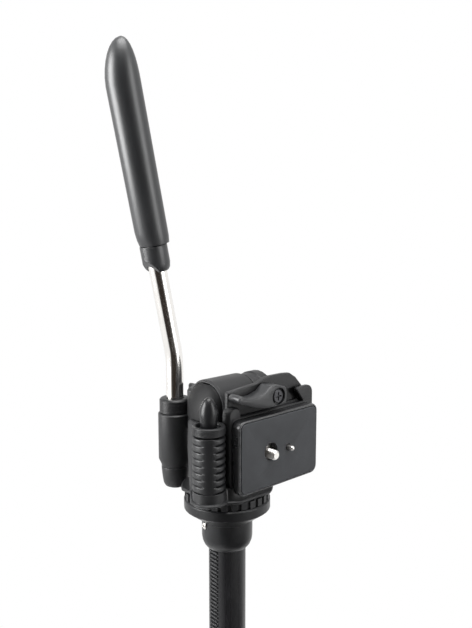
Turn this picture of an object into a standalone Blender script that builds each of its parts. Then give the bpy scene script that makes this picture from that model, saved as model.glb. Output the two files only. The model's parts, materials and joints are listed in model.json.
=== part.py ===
"""Video tripod: a three-way head on a geared centre column, a shoulder with a crank, and three
legs with one extension each, braced by a sliding spreader.

Units are metres. +X is the lens direction, +Z is up and the feet stand on z = 0. The head is
shown with its platform flipped to portrait, so the camera plate faces -Y, and the pan handle
points up. The head's own frame has its origin on the column's axis, at the pan joint.
"""

import math

import bpy
import bmesh
from mathutils import Matrix, Vector

MM = 0.001
GAP = 0.3 * MM
ROUND = 28
SMALL_ROUND = 16
LEG_ROUND = 18
SLEEVE_ROUND = 20
CUP_ROUND = 36
LEG_COUNT = 3
TINY = 0.0001 * MM

# Pan joint
CUP_RADIUS = 27.8 * MM
CUP_RIM_HEIGHT = 6.4 * MM
CUP_EDGE = 0.8 * MM
CONE_HEIGHT = 8.3 * MM
NECK_RADIUS = 16.4 * MM
NECK_HEIGHT = 18.0 * MM
NECK_ROUNDING = 2.8 * MM
NECK_ROUNDING_HEIGHT = 7.0 * MM
SOCKET_ROOF = 12.0 * MM
PAN_BOLT_RADIUS = 3.0 * MM
PAN_BOLT_HEAD_RADIUS = 5.0 * MM
PAN_BOLT_HEAD_HEIGHT = 4.0 * MM
NECK_SCREW_RADIUS = 2.1 * MM
NECK_SCREW_ANGLE = 168.0
NECK_SCREW_DROP = 17.4 * MM
NECK_SCREW_STICKS_OUT = 0.9 * MM
LOCK_RING_RADIUS = 27.3 * MM
LOCK_RING_BORE = 18.0 * MM
LOCK_RING_HEIGHT = 4.6 * MM
LOCK_RING_NOTCHES = 28
LOCK_RING_NOTCH_WIDTH = 2.4 * MM
LOCK_RING_NOTCH_DEPTH = 1.3 * MM

# Pan body: the floor, the post that carries the tilt hinge, and the foot of the ribbed sleeve
FLOOR_RADIUS = 29.5 * MM
FLOOR_THICKNESS = 2.3 * MM
FLOOR_NEAR_EDGE = 26.8 * MM
FLOOR_REAR_EDGE = 25.6 * MM
POST_RADIUS = 12.0 * MM
POST_X = -14.0 * MM
POST_Y = 2.0 * MM
POST_FRONT_RADIUS = 10.6 * MM
POST_BULGE = 1.1 * MM
POST_BULGE_HEIGHT = 34.0 * MM
POST_TOP = 52.5 * MM

# Tilt hinge, about Y, and side hinge, about X. Both axes run at one height.
HINGE_HEIGHT = 60.0 * MM
TILT_X = -3.5 * MM
TONGUE_RADIUS = 9.3 * MM
TONGUE_THICKNESS = 16.0 * MM
TONGUE_EDGE = 3.0 * MM
TILT_AXLE_RADIUS = 3.5 * MM
TILT_AXLE_HEAD_RADIUS = 5.0 * MM
TILT_AXLE_HEAD_HEIGHT = 1.2 * MM
SIDE_Y = 4.0 * MM
ARCH_RADIUS = 16.4 * MM
ARCH_DROP = 8.5 * MM
ARCH_FAR_SHIFT = 1.9 * MM
ARCH_REAR = -13.0 * MM
ARCH_FRONT = 17.0 * MM
TILT_SLOT_RADIUS = 10.0 * MM
HOOD_DEPTH = 5.5 * MM
HOOD_WALL = 1.6 * MM
COVER_BULGE = 8.8 * MM
COVER_DROP = 8.0 * MM
COVER_WALL = 1.2 * MM
COVER_SKIRT = 4.0 * MM
COVER_CHAMFER = 1.5 * MM
SIDE_AXLE_RADIUS = 4.0 * MM
SIDE_AXLE_COLLAR_RADIUS = 6.5 * MM
SIDE_AXLE_COLLAR_HEIGHT = 1.8 * MM

# Ribbed sleeve beside the post
SLEEVE_X = -26.8 * MM
SLEEVE_Y = -13.7 * MM
SLEEVE_RADIUS = 10.0 * MM
SLEEVE_FOOT_TOP = 14.6 * MM
SLEEVE_FOOT_RISE = 1.3 * MM
SKIRT_WIDTH = 1.5 * MM
SKIRT_HEIGHT = 1.6 * MM
SLEEVE_RIB_TOP = 48.4 * MM
SLEEVE_RIBS = 8
SLEEVE_GROOVE_DEPTH = 0.8 * MM
SLEEVE_GROOVE_SHARE = 0.3
SLEEVE_BORE = 6.6 * MM
COLLAR_TOP = 54.5 * MM
COLLAR_WALL = 2.0 * MM
BULLET_RADIUS = 5.7 * MM
BULLET_NECK_RADIUS = 4.7 * MM
BULLET_TOP = 71.5 * MM
BULLET_SHOULDER = 62.0 * MM

# Pan handle
BARREL_X = -12.8 * MM
BARREL_Y = 37.2 * MM
BARREL_RADIUS = 11.2 * MM
BARREL_BOTTOM = 13.8 * MM
BARREL_TOP = 49.8 * MM
BARREL_TAPER = 4.0 * MM
BARREL_CAP_RADIUS = 9.4 * MM
BARREL_CAP_LENGTH = 14.4 * MM
HANDLE_COLLAR_RADIUS = 10.2 * MM
HANDLE_COLLAR_HEIGHT = 9.4 * MM
ARM_LOW = 40.0 * MM
ARM_HIGH = 67.5 * MM
ARM_REAR = -11.5 * MM
ARM_FRONT = 1.5 * MM
ARM_CORNER = 3.0 * MM
TUBE_RADIUS = 5.7 * MM
TUBE_DEPTH = 25.0 * MM
TUBE_BEND_HEIGHT = 86.0 * MM
TUBE_BEND_RADIUS = 70.0 * MM
TUBE_LEAN = 12.0
GRIP_START = 76.0 * MM
GRIP_SHOULDER = 172.0 * MM
GRIP_END = 199.0 * MM
GRIP_RADIUS = 10.4 * MM
GRIP_TOP_RADIUS = 10.6 * MM
GRIP_TIP_SHIFT = 4.3 * MM
GRIP_OFFSET = 0.6 * MM
GRIP_SLEEVE_LENGTH = 17.0 * MM
GRIP_SLEEVE_RADIUS = 8.7 * MM
TUBE_END_IN_GRIP = 60.0 * MM

# Platform and camera plate, in the flipped pose
PLATE_LENGTH = 70.0 * MM
PLATE_WIDTH = 47.0 * MM
PLATE_THICKNESS = 6.8 * MM
PLATE_REAR = -14.7 * MM
PLATE_BOTTOM = 9.4 * MM
PLATE_FACE_Y = -27.5 * MM
PLATE_CORNER = 5.0 * MM
PLATE_EDGE = 1.2 * MM
PAD_MARGIN = 1.3 * MM
PAD_THICKNESS = 1.6 * MM
PAD_PROUD = 0.4 * MM
PAD_GROOVE = 0.5 * MM
SCREW_X = 11.9 * MM
SCREW_HOLE_HEIGHT = 33.0 * MM
SCREW_DROP = 1.5 * MM
SCREW_RADIUS = 3.1 * MM
SCREW_HOLE_RADIUS = 5.6 * MM
SCREW_STICKS_OUT = 5.0 * MM
SCREW_HEAD_RADIUS = 8.0 * MM
SCREW_HEAD_HEIGHT = 1.4 * MM
PIN_X = 27.4 * MM
PIN_HEIGHT = 32.4 * MM
PIN_RADIUS = 1.6 * MM
PIN_HOLE_RADIUS = 2.3 * MM
PIN_STICKS_OUT = 5.0 * MM
PIN_TRAVEL = 3.0 * MM
PIN_HEAD_RADIUS = 2.8 * MM
PIN_HEAD_HEIGHT = 0.8 * MM
PIN_WELL_RADIUS = 3.1 * MM
DOVETAIL_LENGTH = 12.0 * MM
DOVETAIL_MARGIN = 5.0 * MM
DOVETAIL_DEPTH = 2.6 * MM
PLATFORM_BACK_Y = -12.9 * MM
PLATFORM_REAR = -16.0 * MM
PLATFORM_FRONT = 59.0 * MM
PLATFORM_BOTTOM = 11.5 * MM
PLATFORM_TOP = 57.0 * MM
PLATFORM_CORNER = 6.0 * MM
DRUM_RADIUS = 15.8 * MM
DRUM_LENGTH = 7.0 * MM
DRUM_WEB_DEPTH = 13.0 * MM
END_COLLAR_RADIUS = 16.6 * MM
END_COLLAR_LENGTH = 8.0 * MM
SHOULDER_BUMP_TOP = 63.5 * MM
SHOULDER_BUMP_FRONT = -6.5 * MM
SHOULDER_BUMP_CORNER = 4.5 * MM
FENCE_THICKNESS = 3.5 * MM
FENCE_BASE = 49.0 * MM
FENCE_REAR = -14.0 * MM
FENCE_RAIL_TOP = 73.3 * MM
FENCE_HUMP_TOP = 77.3 * MM
FENCE_POCKET_DEPTH = 2.5 * MM
FENCE_POCKET_REAR = 28.0 * MM
FENCE_POCKET_FRONT = 47.5 * MM
FENCE_POCKET_LOW = 58.0 * MM
FENCE_POCKET_TOP = 66.5 * MM
FRONT_TAB_REAR = 48.9 * MM
FRONT_TAB_SLANT = 6.0 * MM
FRONT_TAB_TOP = 67.0 * MM
FRONT_TAB_CORNER = 5.0 * MM
FRONT_TAB_THICKNESS = 3.5 * MM
SIDE_KNOB_RADIUS = 11.5 * MM
SIDE_KNOB_LENGTH = 10.0 * MM
SIDE_KNOB_FLUTES = 12
SIDE_KNOB_FLUTE_RADIUS = 1.3 * MM

# Plate lever
LEVER_PIVOT_X = 19.2 * MM
LEVER_PIVOT_HEIGHT = 66.6 * MM
LEVER_FRONT_Y = -27.0 * MM
LEVER_THICKNESS = 10.0 * MM
LEVER_HUB_TOP = 7.6 * MM
LEVER_HUB_FRONT = 7.3 * MM
LEVER_REACH = 31.4 * MM
LEVER_TIP_RADIUS = 2.4 * MM
LEVER_TIP_RISE = 2.9 * MM
LEVER_BOSS_RADIUS = 6.0 * MM
LEVER_SCREW_RADIUS = 4.4 * MM
LEVER_WELL_GAP = 1.2 * MM
LEVER_SCREW_SHAFT = 2.2 * MM
LEVER_SCREW_HEAD = 2.0 * MM

# Centre column
COLUMN_RADIUS = 12.0 * MM
COLUMN_WALL = 1.6 * MM
COLUMN_LENGTH = 330.0 * MM
COLUMN_RAISED = 112.0 * MM
COLUMN_TRAVEL_DOWN = 76.0 * MM
COLUMN_TRAVEL_UP = 60.0 * MM
RACK_WIDTH = 7.0 * MM
RACK_THICKNESS = 3.0 * MM
RACK_PITCH = 2.6 * MM
RACK_TOOTH_HEIGHT = 1.5 * MM
RACK_GAP = 0.30
RACK_FLANK = 0.20
RACK_START = 34.0 * MM
RACK_TEETH = 70
COLUMN_CAP_HEIGHT = 6.0 * MM

# Crank
PINION_TEETH = 18
PINION_WIDTH = RACK_WIDTH - 1.0 * MM
PINION_MESH = 0.35 * MM
CRANK_SHAFT_RADIUS = 3.0 * MM
CRANK_ARM_LENGTH = 30.0 * MM
CRANK_ARM_THICKNESS = 5.0 * MM
CRANK_ARM_WIDTH = 11.0 * MM
CRANK_KNOB_RADIUS = 7.0 * MM
CRANK_KNOB_LENGTH = 20.0 * MM
CRANK_PIN_RADIUS = 2.0 * MM

# Shoulder and guide tube
SHOULDER_RADIUS = 27.0 * MM
SHOULDER_HEIGHT = 30.0 * MM
SHOULDER_TOP_RADIUS = 19.0 * MM
SHOULDER_NECK_HEIGHT = 66.0 * MM
HOUSING_WIDTH = 22.0 * MM
HOUSING_REACH = 32.0 * MM
HOUSING_HEIGHT = 30.0 * MM
CRANK_RISE = 38.0 * MM
CRANK_BOSS_RADIUS = 8.5 * MM
CRANK_BOSS_REACH = SHOULDER_TOP_RADIUS + 1.0 * MM
YOKE_INNER_HEIGHT = 26.0 * MM
LOCK_KNOB_RADIUS = 10.0 * MM
LOCK_KNOB_LENGTH = 15.0 * MM
LOCK_KNOB_FLUTES = 8
LOCK_KNOB_ANGLE = 60.0
LOCK_SCREW_RADIUS = 3.0 * MM
GUIDE_RADIUS = 16.0 * MM
GUIDE_LENGTH = 150.0 * MM
GUIDE_FLANGE = 2.6 * MM

# Legs
LEG_SPREAD = 24.0
PIVOT_RADIUS = 44.0 * MM
PIVOT_DROP = 12.0 * MM
YOKE_GAP_WIDTH = 15.0 * MM
YOKE_WALL = 5.0 * MM
YOKE_RADIUS = 9.5 * MM
LEG_PIN_RADIUS = 3.0 * MM
LEG_PIN_HEAD_RADIUS = 5.0 * MM
LEG_PIN_HEAD_HEIGHT = 2.0 * MM
UPPER_LEG_LENGTH = 372.0 * MM
UPPER_LEG_RADIUS = 11.0 * MM
UPPER_LEG_WALL = 1.5 * MM
LEG_HEAD_LENGTH = 26.0 * MM
LEG_HEAD_PLUG = 4.0 * MM
LOWER_LEG_RADIUS = 8.8 * MM
LOWER_LEG_WALL = 1.4 * MM
LOWER_LEG_LENGTH = 340.0 * MM
LOWER_LEG_SHOWS = 12.0 * MM
LEG_EXTENSION = 290.0 * MM
CLAMP_RADIUS = 14.0 * MM
CLAMP_LENGTH = 34.0 * MM
CLAMP_OVERLAP = 18.0 * MM
CLAMP_LUG_WIDTH = 9.0 * MM
CLAMP_LUG_FOOT = 6.0 * MM
CLAMP_PIVOT_REACH = 17.5 * MM
CLAMP_PIN_RADIUS = 1.8 * MM
CLAMP_LEVER_LENGTH = 30.0 * MM
CLAMP_LEVER_WIDTH = 15.0 * MM
FOOT_RADIUS = 12.5 * MM
FOOT_LENGTH = 36.0 * MM
FOOT_FLAT_RADIUS = 7.0 * MM

# Spreader
STRUT_ON_LEG = 200.0 * MM
STRUT_INSET = 17.0 * MM
STRUT_LENGTH = 118.0 * MM
STRUT_WIDTH = 8.0 * MM
STRUT_THICKNESS = 3.0 * MM
BRACKET_WALL = 2.2 * MM
BRACKET_HEIGHT = 11.0 * MM
HUB_PIN_RADIUS = 25.0 * MM
HUB_RADIUS = 19.5 * MM
HUB_HEIGHT = 14.0 * MM
HUB_EAR_WALL = 2.5 * MM
HUB_EAR_RADIUS = 4.6 * MM
STRUT_PIN_RADIUS = 1.5 * MM

# Sizes that follow from the ones above
SPREAD = math.radians(LEG_SPREAD)
FOLDED_LEG = UPPER_LEG_LENGTH + CLAMP_LENGTH - CLAMP_OVERLAP + LOWER_LEG_SHOWS
FOOT_AXIS = FOLDED_LEG + FOOT_LENGTH - FOOT_RADIUS
PIVOT_Z = FOOT_AXIS * math.cos(SPREAD) + FOOT_RADIUS * 0.94
FOOT_REACH = PIVOT_RADIUS + FOOT_AXIS * math.sin(SPREAD)
COLUMN_X = -FOOT_REACH / 4
SHOULDER_BOTTOM = PIVOT_Z - YOKE_RADIUS - 2.0 * MM
SHOULDER_TOP = SHOULDER_BOTTOM + SHOULDER_HEIGHT + SHOULDER_NECK_HEIGHT
PAN_Z = SHOULDER_TOP + COLUMN_RAISED
FLOOR_BOTTOM = LOCK_RING_HEIGHT + GAP
FLOOR_FAR_EDGE = BARREL_Y - BARREL_CAP_RADIUS - 2 * GAP
COVER_REACH = math.hypot(TILT_X - ARCH_REAR + COVER_BULGE, COVER_DROP)
POST_SEAT_RADIUS = COVER_REACH + 2 * GAP
FLOOR_TOP = FLOOR_BOTTOM + FLOOR_THICKNESS
RACK_DEPTH = RACK_PITCH / math.pi
PINION_RADIUS = PINION_TEETH * RACK_PITCH / (2 * math.pi)
RACK_FACE = COLUMN_RADIUS + 0.3 * MM
RACK_PITCH_LINE = RACK_FACE - RACK_TOOTH_HEIGHT / 2
CRANK_X = -(RACK_PITCH_LINE + PINION_RADIUS + PINION_MESH)
CRANK_HEIGHT = SHOULDER_HEIGHT + CRANK_RISE
LOCK_SEAT = SHOULDER_TOP_RADIUS + 5.0 * MM

COLOURS = {
    "black_plastic": ((0.018, 0.018, 0.020), 0.42, 0.0),
    "grey_black_plastic": ((0.030, 0.031, 0.034), 0.46, 0.0),
    "rubber": ((0.034, 0.036, 0.039), 0.72, 0.0),
    "grip_foam": ((0.040, 0.042, 0.046), 0.62, 0.0),
    "chrome": ((0.78, 0.77, 0.75), 0.08, 1.0),
    "steel": ((0.62, 0.61, 0.58), 0.24, 1.0),
    "black_steel": ((0.050, 0.050, 0.054), 0.32, 0.6),
    "black_tube": ((0.020, 0.020, 0.022), 0.34, 0.1),
}


def clear_scene():
    for obj in list(bpy.data.objects):
        bpy.data.objects.remove(obj, do_unlink=True)


def material_of(name):
    material = bpy.data.materials.get(name)
    if material is None:
        colour, roughness, metallic = COLOURS[name]
        material = bpy.data.materials.new(name)
        material.use_nodes = True
        shader = material.node_tree.nodes["Principled BSDF"]
        shader.inputs["Base Color"].default_value = (*colour, 1.0)
        shader.inputs["Roughness"].default_value = roughness
        shader.inputs["Metallic"].default_value = metallic
        material.diffuse_color = (*colour, 1.0)
    return material


def empty(name, parent=None, at=(0, 0, 0), turn=(0, 0, 0)):
    """An axis or frame that pieces hang on. The turn is in degrees about X, Y and Z."""
    axis = bpy.data.objects.new(name, None)
    bpy.context.scene.collection.objects.link(axis)
    axis.empty_display_size = 0.02
    axis.parent = parent
    axis.location = at
    axis.rotation_euler = [math.radians(angle) for angle in turn]
    return axis


def piece(name, solid, material, parent, sharp=38):
    """Turns a bmesh into a named object, smooth except where its faces meet at a sharp angle."""
    bmesh.ops.recalc_face_normals(solid, faces=solid.faces)
    mesh = bpy.data.meshes.new(name)
    solid.to_mesh(mesh)
    solid.free()
    mesh.shade_smooth()
    mesh.set_sharp_from_angle(angle=math.radians(sharp))
    mesh.materials.append(material_of(material))
    obj = bpy.data.objects.new(name, mesh)
    bpy.context.scene.collection.objects.link(obj)
    obj.parent = parent
    return obj


def combine(target, tool, operation):
    """Cuts a tool from a piece, or joins it on, as a Boolean that stays on the piece."""
    index = len(target.modifiers)
    helper = piece(f"{target.name}_tool_{index}", tool, "black_plastic", target.parent)
    helper.data.materials.clear()
    helper.data.materials.append(target.data.materials[0])
    helper.hide_render = True
    helper.display_type = "WIRE"
    modifier = target.modifiers.new(f"{operation.lower()}_{index}", "BOOLEAN")
    modifier.operation = operation
    modifier.solver = "EXACT"
    modifier.object = helper


def cut(target, *tools):
    for tool in tools:
        combine(target, tool, "DIFFERENCE")


def join(target, *tools):
    for tool in tools:
        combine(target, tool, "UNION")


def ring_of(solid, radius, height, steps):
    """One ring of a turned solid, or a single point where the profile meets the axis."""
    if radius < TINY:
        return [solid.verts.new((0, 0, height))]
    angles = [2 * math.pi * step / steps for step in range(steps)]
    return [solid.verts.new((radius * math.cos(a), radius * math.sin(a), height)) for a in angles]


def turned(profile, steps=ROUND):
    """A solid turned about Z from (radius, height) points. A profile that ends on the axis at
    both ends is a bar, and any other closes on itself and leaves a bore."""
    solid = bmesh.new()
    bar = max(profile[0][0], profile[-1][0]) < TINY
    flat_low = bar and abs(profile[0][1] - profile[1][1]) < TINY
    flat_high = bar and abs(profile[-1][1] - profile[-2][1]) < TINY
    points = profile[int(flat_low) : len(profile) - int(flat_high)]
    rings = [ring_of(solid, radius, height, steps) for radius, height in points]
    pairs = list(zip(rings, rings[1:]))
    if not bar:
        pairs.append((rings[-1], rings[0]))
    for lower, upper in pairs:
        for step in range(steps):
            after = (step + 1) % steps
            corners = [
                lower[step % len(lower)],
                lower[after % len(lower)],
                upper[after % len(upper)],
                upper[step % len(upper)],
            ]
            corners = list(dict.fromkeys(corners))
            if len(corners) > 2:
                solid.faces.new(corners)
    if flat_low:
        solid.faces.new(rings[0])
    if flat_high:
        solid.faces.new(rings[-1])
    return solid


def prism(outline, low, high):
    """An outline of (x, y) points raised from one height to another."""
    solid = bmesh.new()
    lower = [solid.verts.new((x, y, low)) for x, y in outline]
    upper = [solid.verts.new((x, y, high)) for x, y in outline]
    solid.faces.new(lower)
    solid.faces.new(upper)
    for index in range(len(outline)):
        after = (index + 1) % len(outline)
        solid.faces.new((lower[index], lower[after], upper[after], upper[index]))
    return solid


def rod(radius, low, high, steps=SMALL_ROUND):
    return turned([(0, low), (radius, low), (radius, high), (0, high)], steps)


def softened(solid, width, angle=40, steps=1):
    """Bevels the edges that meet at more than the angle."""
    bmesh.ops.recalc_face_normals(solid, faces=solid.faces)
    limit = math.radians(angle)
    edges = [edge for edge in solid.edges if edge.is_manifold and edge.calc_face_angle() > limit]
    bmesh.ops.bevel(solid, geom=edges, offset=width, segments=steps, profile=0.5, affect="EDGES")
    return solid


def along_x(solid):
    """Lays a solid so that its own X, Y and Z become Y, Z and X."""
    for vert in solid.verts:
        u, v, w = vert.co
        vert.co = (w, u, v)
    return solid


def along_y(solid):
    """Lays a solid so that its own X stays, its Y becomes Z and its Z becomes Y."""
    for vert in solid.verts:
        u, v, w = vert.co
        vert.co = (u, w, v)
    return solid


def moved(solid, x=0.0, y=0.0, z=0.0):
    bmesh.ops.translate(solid, verts=solid.verts, vec=(x, y, z))
    return solid


def spun(solid, angle, axis="Z"):
    """Turns a solid about an axis through the origin, by degrees."""
    turn = Matrix.Rotation(math.radians(angle), 3, axis)
    bmesh.ops.rotate(solid, verts=solid.verts, cent=(0, 0, 0), matrix=turn)
    return solid


def arc(x, y, radius, start, end, steps=6):
    """Points along an arc, from one angle in degrees to another."""
    points = []
    for step in range(steps + 1):
        angle = math.radians(start + (end - start) * step / steps)
        points.append((x + radius * math.cos(angle), y + radius * math.sin(angle)))
    return points


def box(x0, x1, y0, y1, z0, z1):
    return prism([(x0, y0), (x1, y0), (x1, y1), (x0, y1)], z0, z1)


def rounded_outline(x0, x1, y0, y1, radius, steps=4):
    return (
        arc(x1 - radius, y0 + radius, radius, -90, 0, steps)
        + arc(x1 - radius, y1 - radius, radius, 0, 90, steps)
        + arc(x0 + radius, y1 - radius, radius, 90, 180, steps)
        + arc(x0 + radius, y0 + radius, radius, 180, 270, steps)
    )


def hull(points):
    """The convex outline round a set of (x, y) points."""
    points = sorted(set(points))

    def half(ordered):
        chain = []
        for point in ordered:
            while len(chain) > 1 and turn_of(chain[-2], chain[-1], point) <= 0:
                chain.pop()
            chain.append(point)
        return chain[:-1]

    return half(points) + half(points[::-1])


def turn_of(a, b, c):
    return (b[0] - a[0]) * (c[1] - a[1]) - (b[1] - a[1]) * (c[0] - a[0])


def circle(x, y, radius, steps=ROUND):
    return arc(x, y, radius, 0, 360, steps)[:-1]


def lofted(rings, steps=ROUND):
    """A solid through elliptical rings (x, y, z, radius in x, radius in y), with flat ends."""
    solid = bmesh.new()
    loops = []
    for x, y, z, radius_x, radius_y in rings:
        loop = []
        for step in range(steps):
            angle = 2 * math.pi * step / steps
            spot = (x + radius_x * math.cos(angle), y + radius_y * math.sin(angle), z)
            loop.append(solid.verts.new(spot))
        loops.append(loop)
    solid.faces.new(loops[0])
    solid.faces.new(loops[-1])
    for lower, upper in zip(loops, loops[1:]):
        for step in range(steps):
            after = (step + 1) % steps
            solid.faces.new((lower[step], lower[after], upper[after], upper[step]))
    return solid


def fluted(radius, low, high, flutes, flute_radius, bevel):
    """A knob about Z whose rim has hollow flutes."""
    half = flute_radius / radius
    points = []
    for flute in range(flutes):
        middle = 2 * math.pi * flute / flutes
        for offset, depth in ((-1, 0), (-0.45, 0.8), (0.45, 0.8), (1, 0)):
            angle = middle + offset * half
            reach = radius - depth * flute_radius
            points.append((reach * math.cos(angle), reach * math.sin(angle)))
    return softened(prism(points, low, high), bevel, 60)


def build_pan_cup(head):
    """The fixed cup: a rim, a cone and a neck that the column's top fits into."""
    top = -GAP
    rim = top - CUP_RIM_HEIGHT
    cone = rim - CONE_HEIGHT
    bottom = cone - NECK_HEIGHT
    profile = [
        (PAN_BOLT_RADIUS + GAP, top),
        (CUP_RADIUS - CUP_EDGE, top),
        (CUP_RADIUS, top - CUP_EDGE),
        (CUP_RADIUS, rim),
        (NECK_RADIUS, cone),
        (NECK_RADIUS, bottom + NECK_ROUNDING_HEIGHT),
        (NECK_RADIUS - NECK_ROUNDING * 0.15, bottom + NECK_ROUNDING_HEIGHT * 0.6),
        (NECK_RADIUS - NECK_ROUNDING * 0.5, bottom + NECK_ROUNDING_HEIGHT * 0.25),
        (NECK_RADIUS - NECK_ROUNDING, bottom),
        (RACK_FACE + GAP, bottom),
        (RACK_FACE + GAP, -SOCKET_ROOF),
        (PAN_BOLT_RADIUS + GAP, -SOCKET_ROOF),
    ]
    cup = piece("pan_cup", turned(profile, CUP_ROUND), "black_plastic", head)
    hole = along_x(rod(NECK_SCREW_RADIUS + GAP, RACK_FACE - 1 * MM, NECK_RADIUS + 2 * MM))
    cut(cup, moved(spun(hole, NECK_SCREW_ANGLE), z=-NECK_SCREW_DROP))
    return cup


def build_neck_screw(head):
    """The small screw that holds the head on the column."""
    start = RACK_FACE + 2 * GAP
    end = NECK_RADIUS + NECK_SCREW_STICKS_OUT
    profile = [(0, start), (NECK_SCREW_RADIUS, start), (NECK_SCREW_RADIUS, end - 0.4 * MM)]
    slot = 0.9 * MM
    floor = end - 0.8 * MM
    profile += [(NECK_SCREW_RADIUS - 0.4 * MM, end), (slot, end), (slot, floor), (0, floor)]
    screw = moved(spun(along_x(turned(profile, SMALL_ROUND)), NECK_SCREW_ANGLE), z=-NECK_SCREW_DROP)
    piece("neck_screw", screw, "steel", head)


def build_pan_bolt(head):
    """The bolt that the head turns on, with its head above the floor."""
    low = -SOCKET_ROOF + 1 * MM
    seat = FLOOR_TOP + GAP
    top = seat + PAN_BOLT_HEAD_HEIGHT
    edge = 0.5 * MM
    profile = [
        (0, low),
        (PAN_BOLT_RADIUS, low),
        (PAN_BOLT_RADIUS, seat),
        (PAN_BOLT_HEAD_RADIUS, seat),
        (PAN_BOLT_HEAD_RADIUS, top - edge),
        (PAN_BOLT_HEAD_RADIUS - edge, top),
        (0, top),
    ]
    piece("pan_bolt", turned(profile, SMALL_ROUND), "steel", head)


def build_pan_lock_ring(axis):
    """The notched ring between the cup and the floor, which clamps the pan."""
    points = []
    pitch = 360 / LOCK_RING_NOTCHES
    half = math.degrees(LOCK_RING_NOTCH_WIDTH / LOCK_RING_RADIUS) / 2
    inner = LOCK_RING_RADIUS - LOCK_RING_NOTCH_DEPTH
    for notch in range(LOCK_RING_NOTCHES):
        middle = pitch * notch
        points += arc(0, 0, inner, middle - half, middle + half, 1)
        points += arc(0, 0, LOCK_RING_RADIUS, middle + half, middle + pitch - half, 1)
    ring = piece("pan_lock_ring", prism(points, 0, LOCK_RING_HEIGHT), "black_plastic", axis, 30)
    cut(ring, rod(LOCK_RING_BORE, -1 * MM, LOCK_RING_HEIGHT + 1 * MM, ROUND))


def post_outline(bulge):
    front = circle(TILT_X, SIDE_Y, POST_FRONT_RADIUS, 24)
    return hull(circle(POST_X, POST_Y, POST_RADIUS + bulge, 24) + front)


def post_solid():
    """The post, which bulges a little at the rear between the floor and its top."""
    solid = bmesh.new()
    for height, share in ((FLOOR_BOTTOM + 0.5 * MM, 0.0), (POST_BULGE_HEIGHT, 1.0), (POST_TOP, 0.5)):
        for x, y in post_outline(POST_BULGE * share):
            solid.verts.new((x, y, height))
    bmesh.ops.convex_hull(solid, input=solid.verts)
    loose = [vert for vert in solid.verts if not vert.link_faces]
    bmesh.ops.delete(solid, geom=loose, context="VERTS")
    return solid


def floor_outline():
    """A disc with straight edges under the plate, beside the handle's barrel and at the rear."""
    near = math.degrees(math.asin(FLOOR_NEAR_EDGE / FLOOR_RADIUS))
    far = math.degrees(math.asin(FLOOR_FAR_EDGE / FLOOR_RADIUS))
    rear = math.degrees(math.acos(FLOOR_REAR_EDGE / FLOOR_RADIUS))
    front = arc(0, 0, FLOOR_RADIUS, -near, far, 14)
    left = arc(0, 0, FLOOR_RADIUS, 180 - far, 180 - rear, 5)
    return front + left + arc(0, 0, FLOOR_RADIUS, 180 + rear, 180 + near, 5)


def tongue_outline():
    """The tilt tongue, in X and Z: straight sides and a round top about the tilt axis."""
    low = HINGE_HEIGHT - POST_SEAT_RADIUS - 3 * MM
    return (
        [(TILT_X + TONGUE_RADIUS, low)]
        + arc(TILT_X, HINGE_HEIGHT, TONGUE_RADIUS, 0, 180, 16)
        + [(TILT_X - TONGUE_RADIUS, low)]
    )


def build_pan_body(head):
    """The turning base: floor, post with the tilt tongue, and the foot of the ribbed sleeve."""
    floor = softened(prism(floor_outline(), FLOOR_BOTTOM, FLOOR_TOP), 0.7 * MM, 60)
    body = piece("pan_body", floor, "black_plastic", head)
    post = softened(post_solid(), 1.5 * MM, 60)
    seat = along_y(rod(POST_SEAT_RADIUS, POST_Y - 2 * POST_RADIUS, POST_Y + 2 * POST_RADIUS, CUP_ROUND))
    tongue = along_y(prism(tongue_outline(), SIDE_Y - TONGUE_THICKNESS / 2, SIDE_Y + TONGUE_THICKNESS / 2))
    softened(tongue, TONGUE_EDGE, 60, 2)
    skirt = circle(SLEEVE_X, SLEEVE_Y, SLEEVE_RADIUS + SKIRT_WIDTH, 16)
    skirt = hull(skirt + circle(POST_X, POST_Y, POST_RADIUS, 16))
    low = FLOOR_BOTTOM + SLEEVE_FOOT_RISE
    foot = [
        (0, low),
        (SLEEVE_RADIUS - 0.6 * MM, low),
        (SLEEVE_RADIUS, low + 0.6 * MM),
        (SLEEVE_RADIUS, SLEEVE_FOOT_TOP),
        (SLEEVE_BORE - GAP - 0.6 * MM, SLEEVE_FOOT_TOP),
        (SLEEVE_BORE - GAP - 0.6 * MM, SLEEVE_FOOT_TOP + 5 * MM),
        (0, SLEEVE_FOOT_TOP + 5 * MM),
    ]
    join(body, post)
    cut(body, moved(seat, TILT_X, 0, HINGE_HEIGHT))
    join(body, tongue, softened(prism(skirt, low + 0.3 * MM, FLOOR_TOP + SKIRT_HEIGHT), 0.8 * MM, 60))
    around_sleeve = rod(SLEEVE_RADIUS + GAP, SLEEVE_FOOT_TOP - 0.5 * MM, POST_TOP + 1 * MM, ROUND)
    cut(body, moved(around_sleeve, SLEEVE_X, SLEEVE_Y))
    join(body, moved(turned(foot), SLEEVE_X, SLEEVE_Y))
    cut(body, rod(PAN_BOLT_RADIUS + GAP, 0, FLOOR_TOP + 1 * MM))
    pocket = rod(PAN_BOLT_HEAD_RADIUS + GAP, FLOOR_TOP, FLOOR_TOP + PAN_BOLT_HEAD_HEIGHT + 1 * MM)
    cut(body, pocket)
    half = TONGUE_THICKNESS / 2 + 1 * MM
    axle_hole = along_y(rod(TILT_AXLE_RADIUS + GAP, SIDE_Y - half, SIDE_Y + half))
    cut(body, moved(axle_hole, TILT_X, 0, HINGE_HEIGHT))
    return body


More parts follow.
